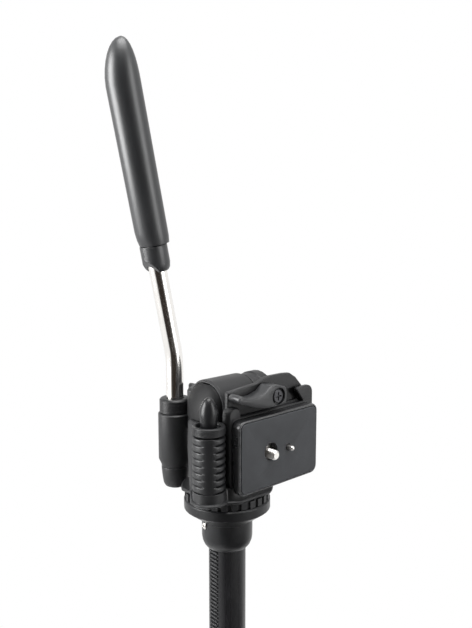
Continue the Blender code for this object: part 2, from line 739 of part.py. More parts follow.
def build_ribbed_sleeve(axis):
    """The ribbed sleeve that twists on its foot. Its grooves are cut all round."""
    low = SLEEVE_FOOT_TOP + GAP
    high = SLEEVE_RIB_TOP
    pitch = (high - low) / SLEEVE_RIBS
    groove = pitch * SLEEVE_GROOVE_SHARE
    profile = [(SLEEVE_BORE, low)]
    for rib in range(SLEEVE_RIBS):
        base = low + rib * pitch
        profile += [
            (SLEEVE_RADIUS - SLEEVE_GROOVE_DEPTH, base),
            (SLEEVE_RADIUS, base + groove / 2),
            (SLEEVE_RADIUS, base + pitch - groove / 2),
        ]
    profile += [(SLEEVE_RADIUS - SLEEVE_GROOVE_DEPTH, high), (SLEEVE_BORE, high)]
    piece("ribbed_sleeve", turned(profile, SLEEVE_ROUND), "rubber", axis)


def build_sleeve_collar(axis):
    """The plain ring on top of the ribs, open where the bullet-shaped post comes out."""
    low = SLEEVE_RIB_TOP + GAP
    inner = SLEEVE_RADIUS - COLLAR_WALL
    edge = 0.6 * MM
    profile = [
        (SLEEVE_BORE, low),
        (SLEEVE_RADIUS - edge / 2, low),
        (SLEEVE_RADIUS, low + edge),
        (SLEEVE_RADIUS, COLLAR_TOP - edge),
        (SLEEVE_RADIUS - edge, COLLAR_TOP),
        (inner, COLLAR_TOP),
        (inner - 0.5 * MM, low + 3 * MM),
        (SLEEVE_BORE, low + 3 * MM),
    ]
    piece("sleeve_collar", turned(profile, SLEEVE_ROUND), "black_plastic", axis)


def build_bullet_post(axis):
    """The post with a bullet-shaped end that stands in the collar."""
    low = SLEEVE_FOOT_TOP + 5 * MM + GAP
    profile = [
        (0, low),
        (BULLET_NECK_RADIUS, low),
        (BULLET_NECK_RADIUS, COLLAR_TOP - 3 * MM),
        (BULLET_RADIUS, BULLET_SHOULDER),
        (BULLET_RADIUS * 0.93, BULLET_SHOULDER + 2.5 * MM),
        (BULLET_RADIUS * 0.70, BULLET_SHOULDER + 6.0 * MM),
        (BULLET_RADIUS * 0.42, BULLET_TOP - 1.4 * MM),
        (BULLET_RADIUS * 0.20, BULLET_TOP - 0.4 * MM),
        (0, BULLET_TOP),
    ]
    piece("bullet_post", turned(profile, SLEEVE_ROUND), "black_plastic", axis, 60)


def arch_outline():
    """The tilt block, in Y and Z: round on top about the side axis, with straight sides."""
    low = HINGE_HEIGHT - ARCH_DROP
    far = SIDE_Y + ARCH_FAR_SHIFT
    return (
        arc(far, HINGE_HEIGHT, ARCH_RADIUS, 0, 90, 10)
        + arc(SIDE_Y, HINGE_HEIGHT, ARCH_RADIUS, 90, 180, 10)
        + arc(SIDE_Y - ARCH_RADIUS + 3 * MM, low + 3 * MM, 3 * MM, 180, 270, 3)
        + arc(far + ARCH_RADIUS - 3 * MM, low + 3 * MM, 3 * MM, 270, 360, 3)
    )


def hood_outline():
    """The open mouth at the block's rear, in Y and Z, inside its thin rim."""
    radius = ARCH_RADIUS - HOOD_WALL
    low = HINGE_HEIGHT - ARCH_DROP - 2 * MM
    far = SIDE_Y + ARCH_FAR_SHIFT
    return (
        [(far + radius, low)]
        + arc(far, HINGE_HEIGHT, radius, 0, 90, 10)
        + arc(SIDE_Y, HINGE_HEIGHT, radius, 90, 180, 10)
        + [(SIDE_Y - radius, low)]
    )


def arm_outline():
    """The handle's arm, in X and Y: from inside the far cheek out to the barrel's front side."""
    near = SIDE_Y + ARCH_RADIUS - 4 * MM
    return (
        [(ARM_REAR, near), (ARM_FRONT, near)]
        + arc(ARM_FRONT - ARM_CORNER, BARREL_Y - ARM_CORNER, ARM_CORNER, 0, 90, 4)
        + [(ARM_REAR, BARREL_Y)]
    )


def build_tilt_body(tilt):
    """The block that tilts on the tongue and carries the side axle and the handle's barrel."""
    block = softened(along_x(prism(arch_outline(), ARCH_REAR, ARCH_FRONT)), 1.2 * MM, 60)
    body = piece("tilt_body", moved(block, -TILT_X, 0, -HINGE_HEIGHT), "black_plastic", tilt)
    arm = softened(prism(arm_outline(), ARM_LOW, ARM_HIGH), 1.5 * MM, 60)
    join(body, moved(arm, -TILT_X, 0, -HINGE_HEIGHT))
    half = TONGUE_THICKNESS / 2 + GAP
    rear = ARCH_REAR - TILT_X - 2 * MM
    low = -ARCH_DROP - 2 * MM
    outline = [(rear, low), (TILT_SLOT_RADIUS, low)] + arc(0, 0, TILT_SLOT_RADIUS, 0, 90, 8)
    outline.append((rear, TILT_SLOT_RADIUS))
    slot = along_y(prism(outline, SIDE_Y - half, SIDE_Y + half))
    cradle = moved(rod(BARREL_RADIUS + GAP, ARM_LOW - 5 * MM, ARM_HIGH + 5 * MM, ROUND), BARREL_X, BARREL_Y)
    hood = along_x(prism(hood_outline(), ARCH_REAR - 2 * MM, ARCH_REAR + HOOD_DEPTH))
    cut(body, slot, moved(cradle, -TILT_X, 0, -HINGE_HEIGHT), moved(hood, -TILT_X, 0, -HINGE_HEIGHT))
    reach = ARCH_RADIUS + 2 * MM
    axle_hole = along_y(rod(TILT_AXLE_RADIUS + GAP, SIDE_Y - reach, SIDE_Y + reach))
    near = SIDE_Y - ARCH_RADIUS
    pocket_end = near + TILT_AXLE_HEAD_HEIGHT + GAP
    head_pocket = along_y(rod(TILT_AXLE_HEAD_RADIUS + GAP, near - 1 * MM, pocket_end))
    front = ARCH_FRONT - TILT_X
    side_hole = along_x(rod(SIDE_AXLE_RADIUS + GAP, front - 4 * MM, front + 1 * MM))
    cut(body, axle_hole, head_pocket, moved(side_hole, 0, SIDE_Y, 0))
    return body


def cover_half_width(height):
    """Half the rear cover's width at a height over the side axis."""
    radius = ARCH_RADIUS - HOOD_WALL - GAP
    return math.sqrt(radius**2 - max(height, 0) ** 2) + ARCH_FAR_SHIFT / 2


def cover_section(half, bulge, steps=12):
    """The cover's wall in X and Y: a bulging back with a skirt at either side."""
    points = []
    for inset, order in ((0, 1), (COVER_WALL, -1)):
        front = ARCH_REAR + COVER_SKIRT
        side = [(front, -half + inset)]
        for step in range(steps + 1):
            angle = math.pi * step / steps
            x = ARCH_REAR + inset - bulge * math.sin(angle)
            side.append((x, -(half - inset) * math.cos(angle)))
        side.append((front, half - inset))
        points += side[::order]
    return points


def build_tilt_cover(tilt):
    """The thin rear cover in the block's mouth, which bulges so that the tongue has room to swing."""
    levels = (
        (-COVER_DROP, COVER_CHAMFER, 1.0),
        (-COVER_DROP + COVER_CHAMFER, 0.0, 1.0),
        (0.0, 0.0, 0.93),
        (4.0 * MM, 0.0, 0.78),
        (8.0 * MM, 0.0, 0.56),
        (11.0 * MM, 0.0, 0.36),
        (13.0 * MM, 0.0, 0.20),
        (14.1 * MM, 0.0, 0.10),
    )
    solid = bmesh.new()
    loops = []
    for height, chamfer, share in levels:
        section = cover_section(cover_half_width(height) - chamfer, COVER_BULGE * share)
        loops.append([solid.verts.new((x, y, height)) for x, y in section])
    solid.faces.new(loops[0])
    solid.faces.new(loops[-1])
    for lower, upper in zip(loops, loops[1:]):
        for index in range(len(lower)):
            after = (index + 1) % len(lower)
            solid.faces.new((lower[index], lower[after], upper[after], upper[index]))
    piece("tilt_cover", moved(solid, -TILT_X, SIDE_Y + ARCH_FAR_SHIFT / 2), "black_plastic", tilt)


def build_tilt_axle(tilt):
    """The axle through the tongue and both cheeks of the tilt block."""
    near = SIDE_Y - ARCH_RADIUS + GAP
    far = SIDE_Y + ARCH_RADIUS - GAP
    seat = near + TILT_AXLE_HEAD_HEIGHT
    profile = [
        (0, near),
        (TILT_AXLE_HEAD_RADIUS - 0.4 * MM, near),
        (TILT_AXLE_HEAD_RADIUS, near + 0.4 * MM),
        (TILT_AXLE_HEAD_RADIUS, seat),
        (TILT_AXLE_RADIUS, seat),
        (TILT_AXLE_RADIUS, far),
        (0, far),
    ]
    piece("tilt_axle", along_y(turned(profile, SMALL_ROUND)), "steel", tilt)


def build_side_axle(tilt):
    """The axle that the drum turns on, fixed in the tilt block."""
    start = ARCH_FRONT - TILT_X - 3.6 * MM
    end = collar_end() + SIDE_KNOB_LENGTH - TILT_X - 3 * MM
    profile = [(0, start), (SIDE_AXLE_RADIUS, start), (SIDE_AXLE_RADIUS, end), (0, end)]
    piece("side_axle", moved(along_x(turned(profile, SMALL_ROUND)), 0, SIDE_Y), "steel", tilt)


def build_handle_barrel(tilt):
    """The clamp barrel that the handle's tube goes into."""
    bore = TUBE_RADIUS + GAP
    edge = 0.8 * MM
    floor = BARREL_TOP - TUBE_DEPTH
    profile = [
        (0, BARREL_BOTTOM),
        (BARREL_CAP_RADIUS, BARREL_BOTTOM),
        (BARREL_CAP_RADIUS, BARREL_BOTTOM + edge),
        (BARREL_RADIUS, BARREL_BOTTOM + edge + BARREL_TAPER),
        (BARREL_RADIUS, BARREL_TOP - edge),
        (BARREL_RADIUS - edge, BARREL_TOP),
        (bore, BARREL_TOP),
        (bore, floor),
        (0, floor),
    ]
    barrel = moved(turned(profile), BARREL_X - TILT_X, BARREL_Y, -HINGE_HEIGHT)
    piece("handle_barrel", barrel, "black_plastic", tilt)


def build_barrel_cap(tilt):
    """The tapered cap under the barrel."""
    top = BARREL_BOTTOM - GAP
    low = top - BARREL_CAP_LENGTH
    radius = BARREL_CAP_RADIUS
    profile = [
        (0, low),
        (radius * 0.55, low),
        (radius * 0.76, low + 1.0 * MM),
        (radius * 0.87, low + 3.0 * MM),
        (radius * 0.94, low + 7.0 * MM),
        (radius, top - 2.0 * MM),
        (radius, top - 0.4 * MM),
        (radius - 0.4 * MM, top),
        (0, top),
    ]
    cap = moved(turned(profile), BARREL_X - TILT_X, BARREL_Y, -HINGE_HEIGHT)
    piece("barrel_cap", cap, "black_plastic", tilt)


def build_handle_collar(handle):
    """The clamp collar that turns with the handle on top of the barrel."""
    low = BARREL_TOP + GAP
    high = low + HANDLE_COLLAR_HEIGHT
    bore = TUBE_RADIUS + GAP
    profile = [
        (bore, low),
        (HANDLE_COLLAR_RADIUS, low),
        (HANDLE_COLLAR_RADIUS, high - 1.2 * MM),
        (HANDLE_COLLAR_RADIUS - 0.8 * MM, high - 0.3 * MM),
        (HANDLE_COLLAR_RADIUS - 1.6 * MM, high),
        (bore, high),
    ]
    piece("handle_collar", turned(profile), "black_plastic", handle)


def lean_frame():
    """The place and turn of the handle's leaning part, in the handle's frame."""
    lean = Matrix.Rotation(-math.radians(TUBE_LEAN), 4, "Y")
    return Matrix.Translation((0, 0, TUBE_BEND_HEIGHT)) @ lean


def build_handle_tube(handle):
    """The chrome tube: straight in the barrel, then bent towards the operator."""
    lean = math.radians(TUBE_LEAN)
    along = TUBE_BEND_RADIUS * math.tan(lean / 2)
    points = [(0, 0, BARREL_TOP - TUBE_DEPTH + GAP)]
    for step in range(9):
        angle = lean * step / 8
        x = -TUBE_BEND_RADIUS * (1 - math.cos(angle))
        z = TUBE_BEND_HEIGHT - along + TUBE_BEND_RADIUS * math.sin(angle)
        points.append((x, 0, z))
    end = lean_frame() @ Vector((0, 0, GRIP_START + TUBE_END_IN_GRIP))
    points.append(tuple(end))
    curve = bpy.data.curves.new("handle_tube", "CURVE")
    curve.dimensions = "3D"
    spline = curve.splines.new("POLY")
    spline.points.add(len(points) - 1)
    for point, place in zip(spline.points, points):
        point.co = (*place, 1)
    curve.bevel_depth = TUBE_RADIUS
    curve.bevel_resolution = 6
    curve.use_fill_caps = True
    curve.materials.append(material_of("chrome"))
    tube = bpy.data.objects.new("handle_tube", curve)
    bpy.context.scene.collection.objects.link(tube)
    tube.parent = handle
    return tube


def grip_rings():
    """The grip's rings along its own axis. Its end is sloped on the operator's side."""
    length = GRIP_SHOULDER - GRIP_START
    radius = GRIP_RADIUS
    rings = [
        (GRIP_OFFSET + 0.6 * MM, 0, GRIP_START, radius * 0.90, radius * 0.93),
        (GRIP_OFFSET + 0.3 * MM, 0, GRIP_START + 4 * MM, radius * 0.97, radius * 0.985),
    ]
    for step in range(5):
        share = step / 4
        radius = GRIP_RADIUS + (GRIP_TOP_RADIUS - GRIP_RADIUS) * share
        rings.append((GRIP_OFFSET, 0, GRIP_START + 9 * MM + (length - 9 * MM) * share, radius, radius))
    for step in range(1, 9):
        share = math.sin(math.pi / 2 * step / 8.4)
        rear = GRIP_TIP_SHIFT - (GRIP_TOP_RADIUS + GRIP_TIP_SHIFT) * math.sqrt(1 - share**1.6)
        front = GRIP_TIP_SHIFT + (GRIP_TOP_RADIUS - GRIP_TIP_SHIFT) * math.sqrt(1 - share**3)
        z = GRIP_SHOULDER + (GRIP_END - GRIP_SHOULDER) * share
        across = GRIP_TOP_RADIUS * math.sqrt(1 - share**2)
        rings.append((GRIP_OFFSET + (front + rear) / 2, 0, z, (front - rear) / 2, across))
    return rings


def build_handle_grip(handle):
    grip = piece("handle_grip", lofted(grip_rings(), 24), "grip_foam", handle, 60)
    cut(grip, rod(TUBE_RADIUS + GAP, GRIP_START - 1 * MM, GRIP_START + TUBE_END_IN_GRIP + GAP, ROUND))
    place_on_handle(grip)


def place_on_handle(obj):
    """Puts a piece and its helpers on the handle's leaning axis."""
    obj.matrix_local = lean_frame()
    for modifier in obj.modifiers:
        modifier.object.matrix_local = lean_frame()


def build_grip_sleeve(handle):
    """The narrower sleeve under the grip."""
    low = GRIP_START - GRIP_SLEEVE_LENGTH
    high = GRIP_START - GAP
    bore = TUBE_RADIUS + GAP
    profile = [
        (bore, low),
        (GRIP_SLEEVE_RADIUS * 0.80, low),
        (GRIP_SLEEVE_RADIUS * 0.93, low + 1.5 * MM),
        (GRIP_SLEEVE_RADIUS, low + 5 * MM),
        (GRIP_SLEEVE_RADIUS, high - 0.5 * MM),
        (GRIP_SLEEVE_RADIUS - 0.5 * MM, high),
        (bore, high),
    ]
    sleeve = piece("grip_sleeve", turned(profile), "black_plastic", handle, 45)
    reach = GRIP_SLEEVE_RADIUS + 2 * MM
    wedge = [(-reach, low - 1 * MM), (-GRIP_SLEEVE_RADIUS * 0.3, low - 1 * MM), (-reach, low + 11 * MM)]
    cut(sleeve, along_y(prism(wedge, -reach, reach)))
    place_on_handle(sleeve)


def drum_start():
    return ARCH_FRONT + GAP


def drum_end():
    return drum_start() + DRUM_LENGTH


def collar_end():
    return drum_end() + END_COLLAR_LENGTH


def build_platform(side):
    """The flipping platform: hinge drum, fence, front tab and the plate's seat with a dovetail."""
    seat = PLATE_FACE_Y + PLATE_THICKNESS + GAP
    outline = rounded_outline(PLATFORM_REAR, PLATFORM_FRONT, PLATFORM_BOTTOM, PLATFORM_TOP, PLATFORM_CORNER)
    slab = softened(along_y(prism(outline, seat, PLATFORM_BACK_Y)), 0.8 * MM, 60)
    platform = piece("platform", moved(slab, 0, -SIDE_Y, -HINGE_HEIGHT), "black_plastic", side)
    low = PLATFORM_TOP - 12 * MM
    bump = rounded_outline(PLATFORM_REAR, SHOULDER_BUMP_FRONT, low, SHOULDER_BUMP_TOP, SHOULDER_BUMP_CORNER)
    bump = softened(along_y(prism(bump, seat + 0.2 * MM, PLATFORM_BACK_Y - 0.2 * MM)), 0.8 * MM, 60)
    fence = along_y(prism(fence_outline(), fence_front(), PLATFORM_BACK_Y - 0.1 * MM))
    softened(fence, 0.6 * MM, 60)
    tab = prism(front_tab_outline(low), seat + 0.3 * MM, seat + FRONT_TAB_THICKNESS)
    tab = softened(along_y(tab), 0.6 * MM, 60)
    join(platform, *[moved(solid, 0, -SIDE_Y, -HINGE_HEIGHT) for solid in (bump, fence, tab)])
    drum = softened(along_x(rod(DRUM_RADIUS, drum_start(), drum_end() + 1 * MM, ROUND)), 0.6 * MM, 60)
    collar = softened(along_x(rod(END_COLLAR_RADIUS, drum_end(), collar_end(), ROUND)), 1.0 * MM, 60)
    back = PLATFORM_BACK_Y - SIDE_Y - 2 * MM
    web = box(drum_start() + 1 * MM, collar_end() - 1 * MM, back, 0, -DRUM_WEB_DEPTH, 3 * MM)
    join(platform, drum, collar, web, dovetail_block(0), lever_boss())
    hole = along_x(rod(SIDE_AXLE_RADIUS + GAP, drum_start() - 1 * MM, collar_end() + 1 * MM))
    pocket = box(FENCE_POCKET_REAR, FENCE_POCKET_FRONT, fence_front() - 1 * MM,
                 fence_front() + FENCE_POCKET_DEPTH, FENCE_POCKET_LOW, FENCE_POCKET_TOP)
    cut(platform, hole, lever_screw_hole(), moved(pocket, 0, -SIDE_Y, -HINGE_HEIGHT))
    return platform


def front_tab_outline(low):
    """The tab at the plate's front, in X and Z, with a slanted rear edge and a round corner."""
    front = PLATFORM_FRONT - 0.3 * MM
    corner = FRONT_TAB_CORNER
    slant = FRONT_TAB_REAR - FRONT_TAB_SLANT
    return (
        [(FRONT_TAB_REAR, low), (front, low)]
        + arc(front - corner, FRONT_TAB_TOP - corner, corner, 0, 90, 5)
        + [(slant + 1.5 * MM, FRONT_TAB_TOP), (slant, FRONT_TAB_TOP - 1.5 * MM)]
        + [(FRONT_TAB_REAR, FENCE_POCKET_LOW)]
    )


def fence_outline():
    """The wall behind the plate lever, in X and Z: a rising rail, a hump and a sloping front."""
    front = PLATFORM_FRONT - 3 * MM
    hump = FENCE_HUMP_TOP
    rail = FENCE_RAIL_TOP
    return [
        (FENCE_REAR, FENCE_BASE),
        (front, FENCE_BASE),
        (front, FRONT_TAB_TOP - 5 * MM),
        (front - 3.8 * MM, FRONT_TAB_TOP - 0.4 * MM),
        (front - 9.8 * MM, hump - 4.3 * MM),
        (front - 15.6 * MM, hump - 0.7 * MM),
        (front - 22.2 * MM, hump - 0.1 * MM),
        (LEVER_PIVOT_X + 2.7 * MM, hump),
        (LEVER_PIVOT_X - 2.6 * MM, hump - 0.4 * MM),
        (LEVER_PIVOT_X - 7.9 * MM, rail + 1.3 * MM),
        (FENCE_REAR + 10 * MM, rail),
        (FENCE_REAR + 1 * MM, rail - 0.7 * MM),
        (FENCE_REAR, rail - 1.7 * MM),
    ]


def dovetail_block(clearance):
    """The block on the platform that fits the recess in the plate's back."""
    x0 = PLATE_REAR + DOVETAIL_MARGIN - clearance
    x1 = x0 + DOVETAIL_LENGTH + 2 * clearance
    low = PLATE_BOTTOM + DOVETAIL_MARGIN - clearance - HINGE_HEIGHT
    high = PLATE_BOTTOM + PLATE_WIDTH - DOVETAIL_MARGIN + clearance - HINGE_HEIGHT
    seat = PLATE_FACE_Y + PLATE_THICKNESS - SIDE_Y
    return box(x0, x1, seat - DOVETAIL_DEPTH - clearance, seat + 3 * MM, low, high)


def lever_back():
    return LEVER_FRONT_Y + LEVER_THICKNESS


def fence_front():
    return PLATFORM_BACK_Y - FENCE_THICKNESS


def lever_boss():
    """The round seat on the fence that the lever turns against."""
    boss = along_y(rod(LEVER_BOSS_RADIUS, lever_back() + GAP - SIDE_Y, fence_front() + 1 * MM - SIDE_Y, 24))
    return moved(boss, LEVER_PIVOT_X, 0, LEVER_PIVOT_HEIGHT - HINGE_HEIGHT)


def lever_screw_hole():
    low = LEVER_PIVOT_HEIGHT - HINGE_HEIGHT
    start = lever_back() - SIDE_Y - 1 * MM
    hole = along_y(rod(LEVER_SCREW_SHAFT + GAP, start, PLATFORM_BACK_Y - SIDE_Y + 1 * MM))
    return moved(hole, LEVER_PIVOT_X, 0, low)


def build_side_knob(knob):
    """The fluted knob on the side axle's front end, which clamps the drum."""
    start = collar_end() + GAP
    end = start + SIDE_KNOB_LENGTH
    body = fluted(SIDE_KNOB_RADIUS, start, end, SIDE_KNOB_FLUTES, SIDE_KNOB_FLUTE_RADIUS, 0.8 * MM)
    side_knob = piece("side_lock_knob", along_x(body), "black_plastic", knob)
    cut(side_knob, along_x(rod(SIDE_AXLE_RADIUS + GAP, start - 1 * MM, start + SIDE_KNOB_LENGTH - 2 * MM)))


def plate_outline(margin, corner):
    return rounded_outline(
        PLATE_REAR + margin,
        PLATE_REAR + PLATE_LENGTH - margin,
        PLATE_BOTTOM + margin - HINGE_HEIGHT,
        PLATE_BOTTOM + PLATE_WIDTH - margin - HINGE_HEIGHT,
        corner,
    )


def build_camera_plate(side):
    """The quick-release plate, with a recess for the pad, one for the dovetail and the holes."""
    face = PLATE_FACE_Y - SIDE_Y
    back = face + PLATE_THICKNESS
    body = softened(along_y(prism(plate_outline(0, PLATE_CORNER), face, back)), PLATE_EDGE, 60, 2)
    plate = piece("camera_plate", body, "black_plastic", side)
    inside = plate_outline(PAD_MARGIN, PLATE_CORNER - PAD_MARGIN)
    recess = along_y(prism(inside, face - 1 * MM, face + PAD_THICKNESS - PAD_PROUD))
    low = SCREW_HOLE_HEIGHT - HINGE_HEIGHT
    screw_hole = moved(along_y(rod(SCREW_HOLE_RADIUS, face - 1 * MM, back + 1 * MM, 28)), SCREW_X, 0, low)
    well_start = back - SCREW_HEAD_HEIGHT - 2 * GAP
    well = along_y(rod(SCREW_HEAD_RADIUS + 2.0 * MM, well_start, back + 1 * MM, ROUND))
    well = moved(well, SCREW_X, 0, low)
    pin_low = PIN_HEIGHT - HINGE_HEIGHT
    pin_hole = moved(along_y(rod(PIN_HOLE_RADIUS, face - 1 * MM, back + 1 * MM)), PIN_X, 0, pin_low)
    pin_well = moved(along_y(rod(PIN_WELL_RADIUS, face + PAD_THICKNESS, back + 1 * MM)), PIN_X, 0, pin_low)
    cut(plate, recess, dovetail_block(GAP), screw_hole, well, pin_hole, pin_well)
    return plate


def build_plate_pad(side):
    """The rubber pad that the camera stands on."""
    face = PLATE_FACE_Y - PAD_PROUD - SIDE_Y
    outline = plate_outline(PAD_MARGIN + PAD_GROOVE, PLATE_CORNER - PAD_MARGIN - PAD_GROOVE)
    pad = piece("plate_pad", along_y(prism(outline, face, face + PAD_THICKNESS - GAP)), "rubber", side)
    low = SCREW_HOLE_HEIGHT - HINGE_HEIGHT
    screw_hole = moved(along_y(rod(SCREW_HOLE_RADIUS, face - 1 * MM, face + 3 * MM, 28)), SCREW_X, 0, low)
    pin_hole = along_y(rod(PIN_HOLE_RADIUS, face - 1 * MM, face + 3 * MM))
    pin_hole = moved(pin_hole, PIN_X, 0, PIN_HEIGHT - HINGE_HEIGHT)
    cut(pad, screw_hole, pin_hole)
    return pad


def build_camera_screw(screw):
    """The 1/4 inch screw, loose in its hole, with a flat slotted head in the plate's back."""
    back = PLATE_FACE_Y + PLATE_THICKNESS - GAP
    seat = back - SCREW_HEAD_HEIGHT
    tip = PLATE_FACE_Y - SCREW_STICKS_OUT
    profile = [
        (0, tip),
        (SCREW_RADIUS - 0.7 * MM, tip),
        (SCREW_RADIUS, tip + 0.9 * MM),
        (SCREW_RADIUS, seat),
        (SCREW_HEAD_RADIUS, seat),
        (SCREW_HEAD_RADIUS, back),
        (0, back),
    ]
    body = piece("camera_screw", along_y(turned(profile, 24)), "steel", screw)
    slot = SCREW_HEAD_RADIUS * 0.7
    cut(body, box(-slot, slot, back - 0.6 * MM, back + 1 * MM, -0.6 * MM, 0.6 * MM))


def build_video_pin(pin):
    """The spring-loaded pin that keeps the camera from turning."""
    tip = PLATE_FACE_Y - PIN_STICKS_OUT
    seat = PLATE_FACE_Y + PAD_THICKNESS + GAP
    profile = [
        (0, tip),
        (PIN_RADIUS * 0.6, tip),
        (PIN_RADIUS, tip + 0.7 * MM),
        (PIN_RADIUS, seat),
        (PIN_HEAD_RADIUS, seat),
        (PIN_HEAD_RADIUS, seat + PIN_HEAD_HEIGHT),
        (0, seat + PIN_HEAD_HEIGHT),
    ]
    piece("video_pin", along_y(turned(profile, SMALL_ROUND)), "steel", pin)


def lever_outline():
    """The wavy plate lever, in X and Z about its pivot: a blunt hub and an arm with a round tip.
    The arm's edges are shares of its reach and of the hub's height."""
    reach = LEVER_REACH
    top = LEVER_HUB_TOP
    front = LEVER_HUB_FRONT
    upper = [(0.0, 0.96), (-0.20, 1.0), (-0.36, 0.54), (-0.58, 0.30), (-0.80, 0.33), (-0.92, 0.52)]
    lower = [(-0.86, -0.16), (-0.63, -0.52), (-0.31, -0.78), (-0.10, -0.80)]
    return (
        [(front, -0.70 * top), (front, 0.40 * top), (front - 1.2 * MM, 0.68 * top)]
        + [(x * reach, z * top) for x, z in upper]
        + arc(-reach, LEVER_TIP_RISE, LEVER_TIP_RADIUS, 70, 250, 6)
        + [(x * reach, z * top) for x, z in lower]
    )


def build_plate_lever(lever):
    """The lever over the plate's edge. Its screw passes through the hub."""
    front = LEVER_FRONT_Y
    back = lever_back()
    body = softened(along_y(prism(lever_outline(), front, back)), 1.0 * MM, 60, 2)
    arm = piece("plate_lever", body, "black_plastic", lever, 30)
    well_end = front + LEVER_SCREW_HEAD + GAP
    head_well = along_y(rod(LEVER_SCREW_RADIUS + LEVER_WELL_GAP, front - 1 * MM, well_end, ROUND))
    shaft_hole = along_y(rod(LEVER_SCREW_SHAFT + GAP, front - 1 * MM, back + 1 * MM))
    cut(arm, head_well, shaft_hole)


def cross_outline(reach, half_width):
    """The outline of a cross slot."""
    corner = [(reach, -half_width), (reach, half_width), (half_width, half_width)]
    points = []
    for quarter in range(4):
        turn = Matrix.Rotation(math.radians(90 * quarter), 2)
        points += [tuple(turn @ Vector(point)) for point in corner]
    return points


def build_lever_screw(side):
    """The cross-head screw that the lever turns on."""
    front = LEVER_FRONT_Y + GAP - SIDE_Y
    seat = front + LEVER_SCREW_HEAD - GAP
    end = PLATFORM_BACK_Y - SIDE_Y - 0.5 * MM
    profile = [
        (0, front),
        (LEVER_SCREW_RADIUS - 0.7 * MM, front),
        (LEVER_SCREW_RADIUS, front + 0.5 * MM),
        (LEVER_SCREW_RADIUS, seat),
        (LEVER_SCREW_SHAFT, seat),
        (LEVER_SCREW_SHAFT, end),
        (0, end),
    ]
    low = LEVER_PIVOT_HEIGHT - HINGE_HEIGHT
    solid = moved(along_y(turned(profile, 24)), LEVER_PIVOT_X, 0, low)
    screw = piece("lever_screw", solid, "black_steel", side)
    cross = along_y(prism(cross_outline(2.6 * MM, 0.5 * MM), front - 1 * MM, front + 1 * MM))
    cut(screw, moved(cross, LEVER_PIVOT_X, 0, low))


def build_column(slide):
    """The round centre column, hollow, with a flat seat for the gear rack at the rear."""
    top = -SOCKET_ROOF - GAP
    low = top - COLUMN_LENGTH
    inner = COLUMN_RADIUS - COLUMN_WALL
    tube = turned([(inner, low), (COLUMN_RADIUS, low), (COLUMN_RADIUS, top), (inner, top)])
    column = piece("centre_column", tube, "black_tube", slide)
    flat = RACK_FACE - RACK_THICKNESS - GAP
    bed = box(-flat - 1.2 * MM, -flat + 2.2 * MM, -RACK_WIDTH / 2 - 1.4 * MM, RACK_WIDTH / 2 + 1.4 * MM,
              rack_low() - 3 * MM, rack_high() + 3 * MM)
    seat = COLUMN_RADIUS + 2 * MM
    half = RACK_WIDTH / 2 + GAP
    channel = box(-seat, -flat, -half, half, rack_low() - GAP, rack_high() + GAP)
    join(column, bed)
    cut(column, channel)
    return column


def rack_high():
    return -RACK_START


def rack_low():
    return rack_high() - RACK_TEETH * RACK_PITCH


def build_gear_rack(slide):
    """The rack down the column's rear, with straight teeth."""
    root = RACK_FACE - RACK_TOOTH_HEIGHT
    back = RACK_FACE - RACK_THICKNESS
    points = []
    for tooth in range(RACK_TEETH):
        base = rack_low() + tooth * RACK_PITCH
        points += [
            (-root, base + RACK_PITCH * RACK_GAP / 2),
            (-RACK_FACE, base + RACK_PITCH * (RACK_GAP / 2 + RACK_FLANK)),
            (-RACK_FACE, base + RACK_PITCH * (1 - RACK_GAP / 2 - RACK_FLANK)),
            (-root, base + RACK_PITCH * (1 - RACK_GAP / 2)),
        ]
    points += [(-root, rack_high()), (-back, rack_high()), (-back, rack_low()), (-root, rack_low())]
    rack = along_y(prism(points, -RACK_WIDTH / 2, RACK_WIDTH / 2))
    piece("gear_rack", rack, "black_plastic", slide, 20)


def build_column_cap(slide):
    """The plug in the column's lower end."""
    top = -SOCKET_ROOF - GAP - COLUMN_LENGTH
    inner = COLUMN_RADIUS - COLUMN_WALL - GAP
    profile = [
        (0, top - COLUMN_CAP_HEIGHT),
        (COLUMN_RADIUS - 1 * MM, top - COLUMN_CAP_HEIGHT),
        (COLUMN_RADIUS, top - COLUMN_CAP_HEIGHT + 1 * MM),
        (COLUMN_RADIUS, top - GAP),
        (inner, top - GAP),
        (inner, top + 8 * MM),
        (0, top + 8 * MM),
    ]
    piece("column_cap", turned(profile, LEG_ROUND), "black_plastic", slide)


def pinion_outline():
    """Trapezoid teeth about the crank's axis, a little slimmer than the rack's gaps."""
    half = RACK_TOOTH_HEIGHT / 2
    pitch = 360 / PINION_TEETH
    points = []
    for tooth in range(PINION_TEETH):
        middle = pitch * tooth
        for radius, share in ((PINION_RADIUS - half, 0.26), (PINION_RADIUS + half * 0.8, 0.11)):
            angle = math.radians(middle - pitch * share)
            points.append((radius * math.cos(angle), radius * math.sin(angle)))
        for radius, share in ((PINION_RADIUS + half * 0.8, 0.11), (PINION_RADIUS - half, 0.26)):
            angle = math.radians(middle + pitch * share)
            points.append((radius * math.cos(angle), radius * math.sin(angle)))
    return points


def pinion_phase():
    """The pinion's turn that sets a tooth in the rack gap nearest to the crank's height."""
    crank_above_low = CRANK_HEIGHT + SHOULDER_BOTTOM - PAN_Z - rack_low()
    return -math.degrees((crank_above_low % RACK_PITCH) / PINION_RADIUS)


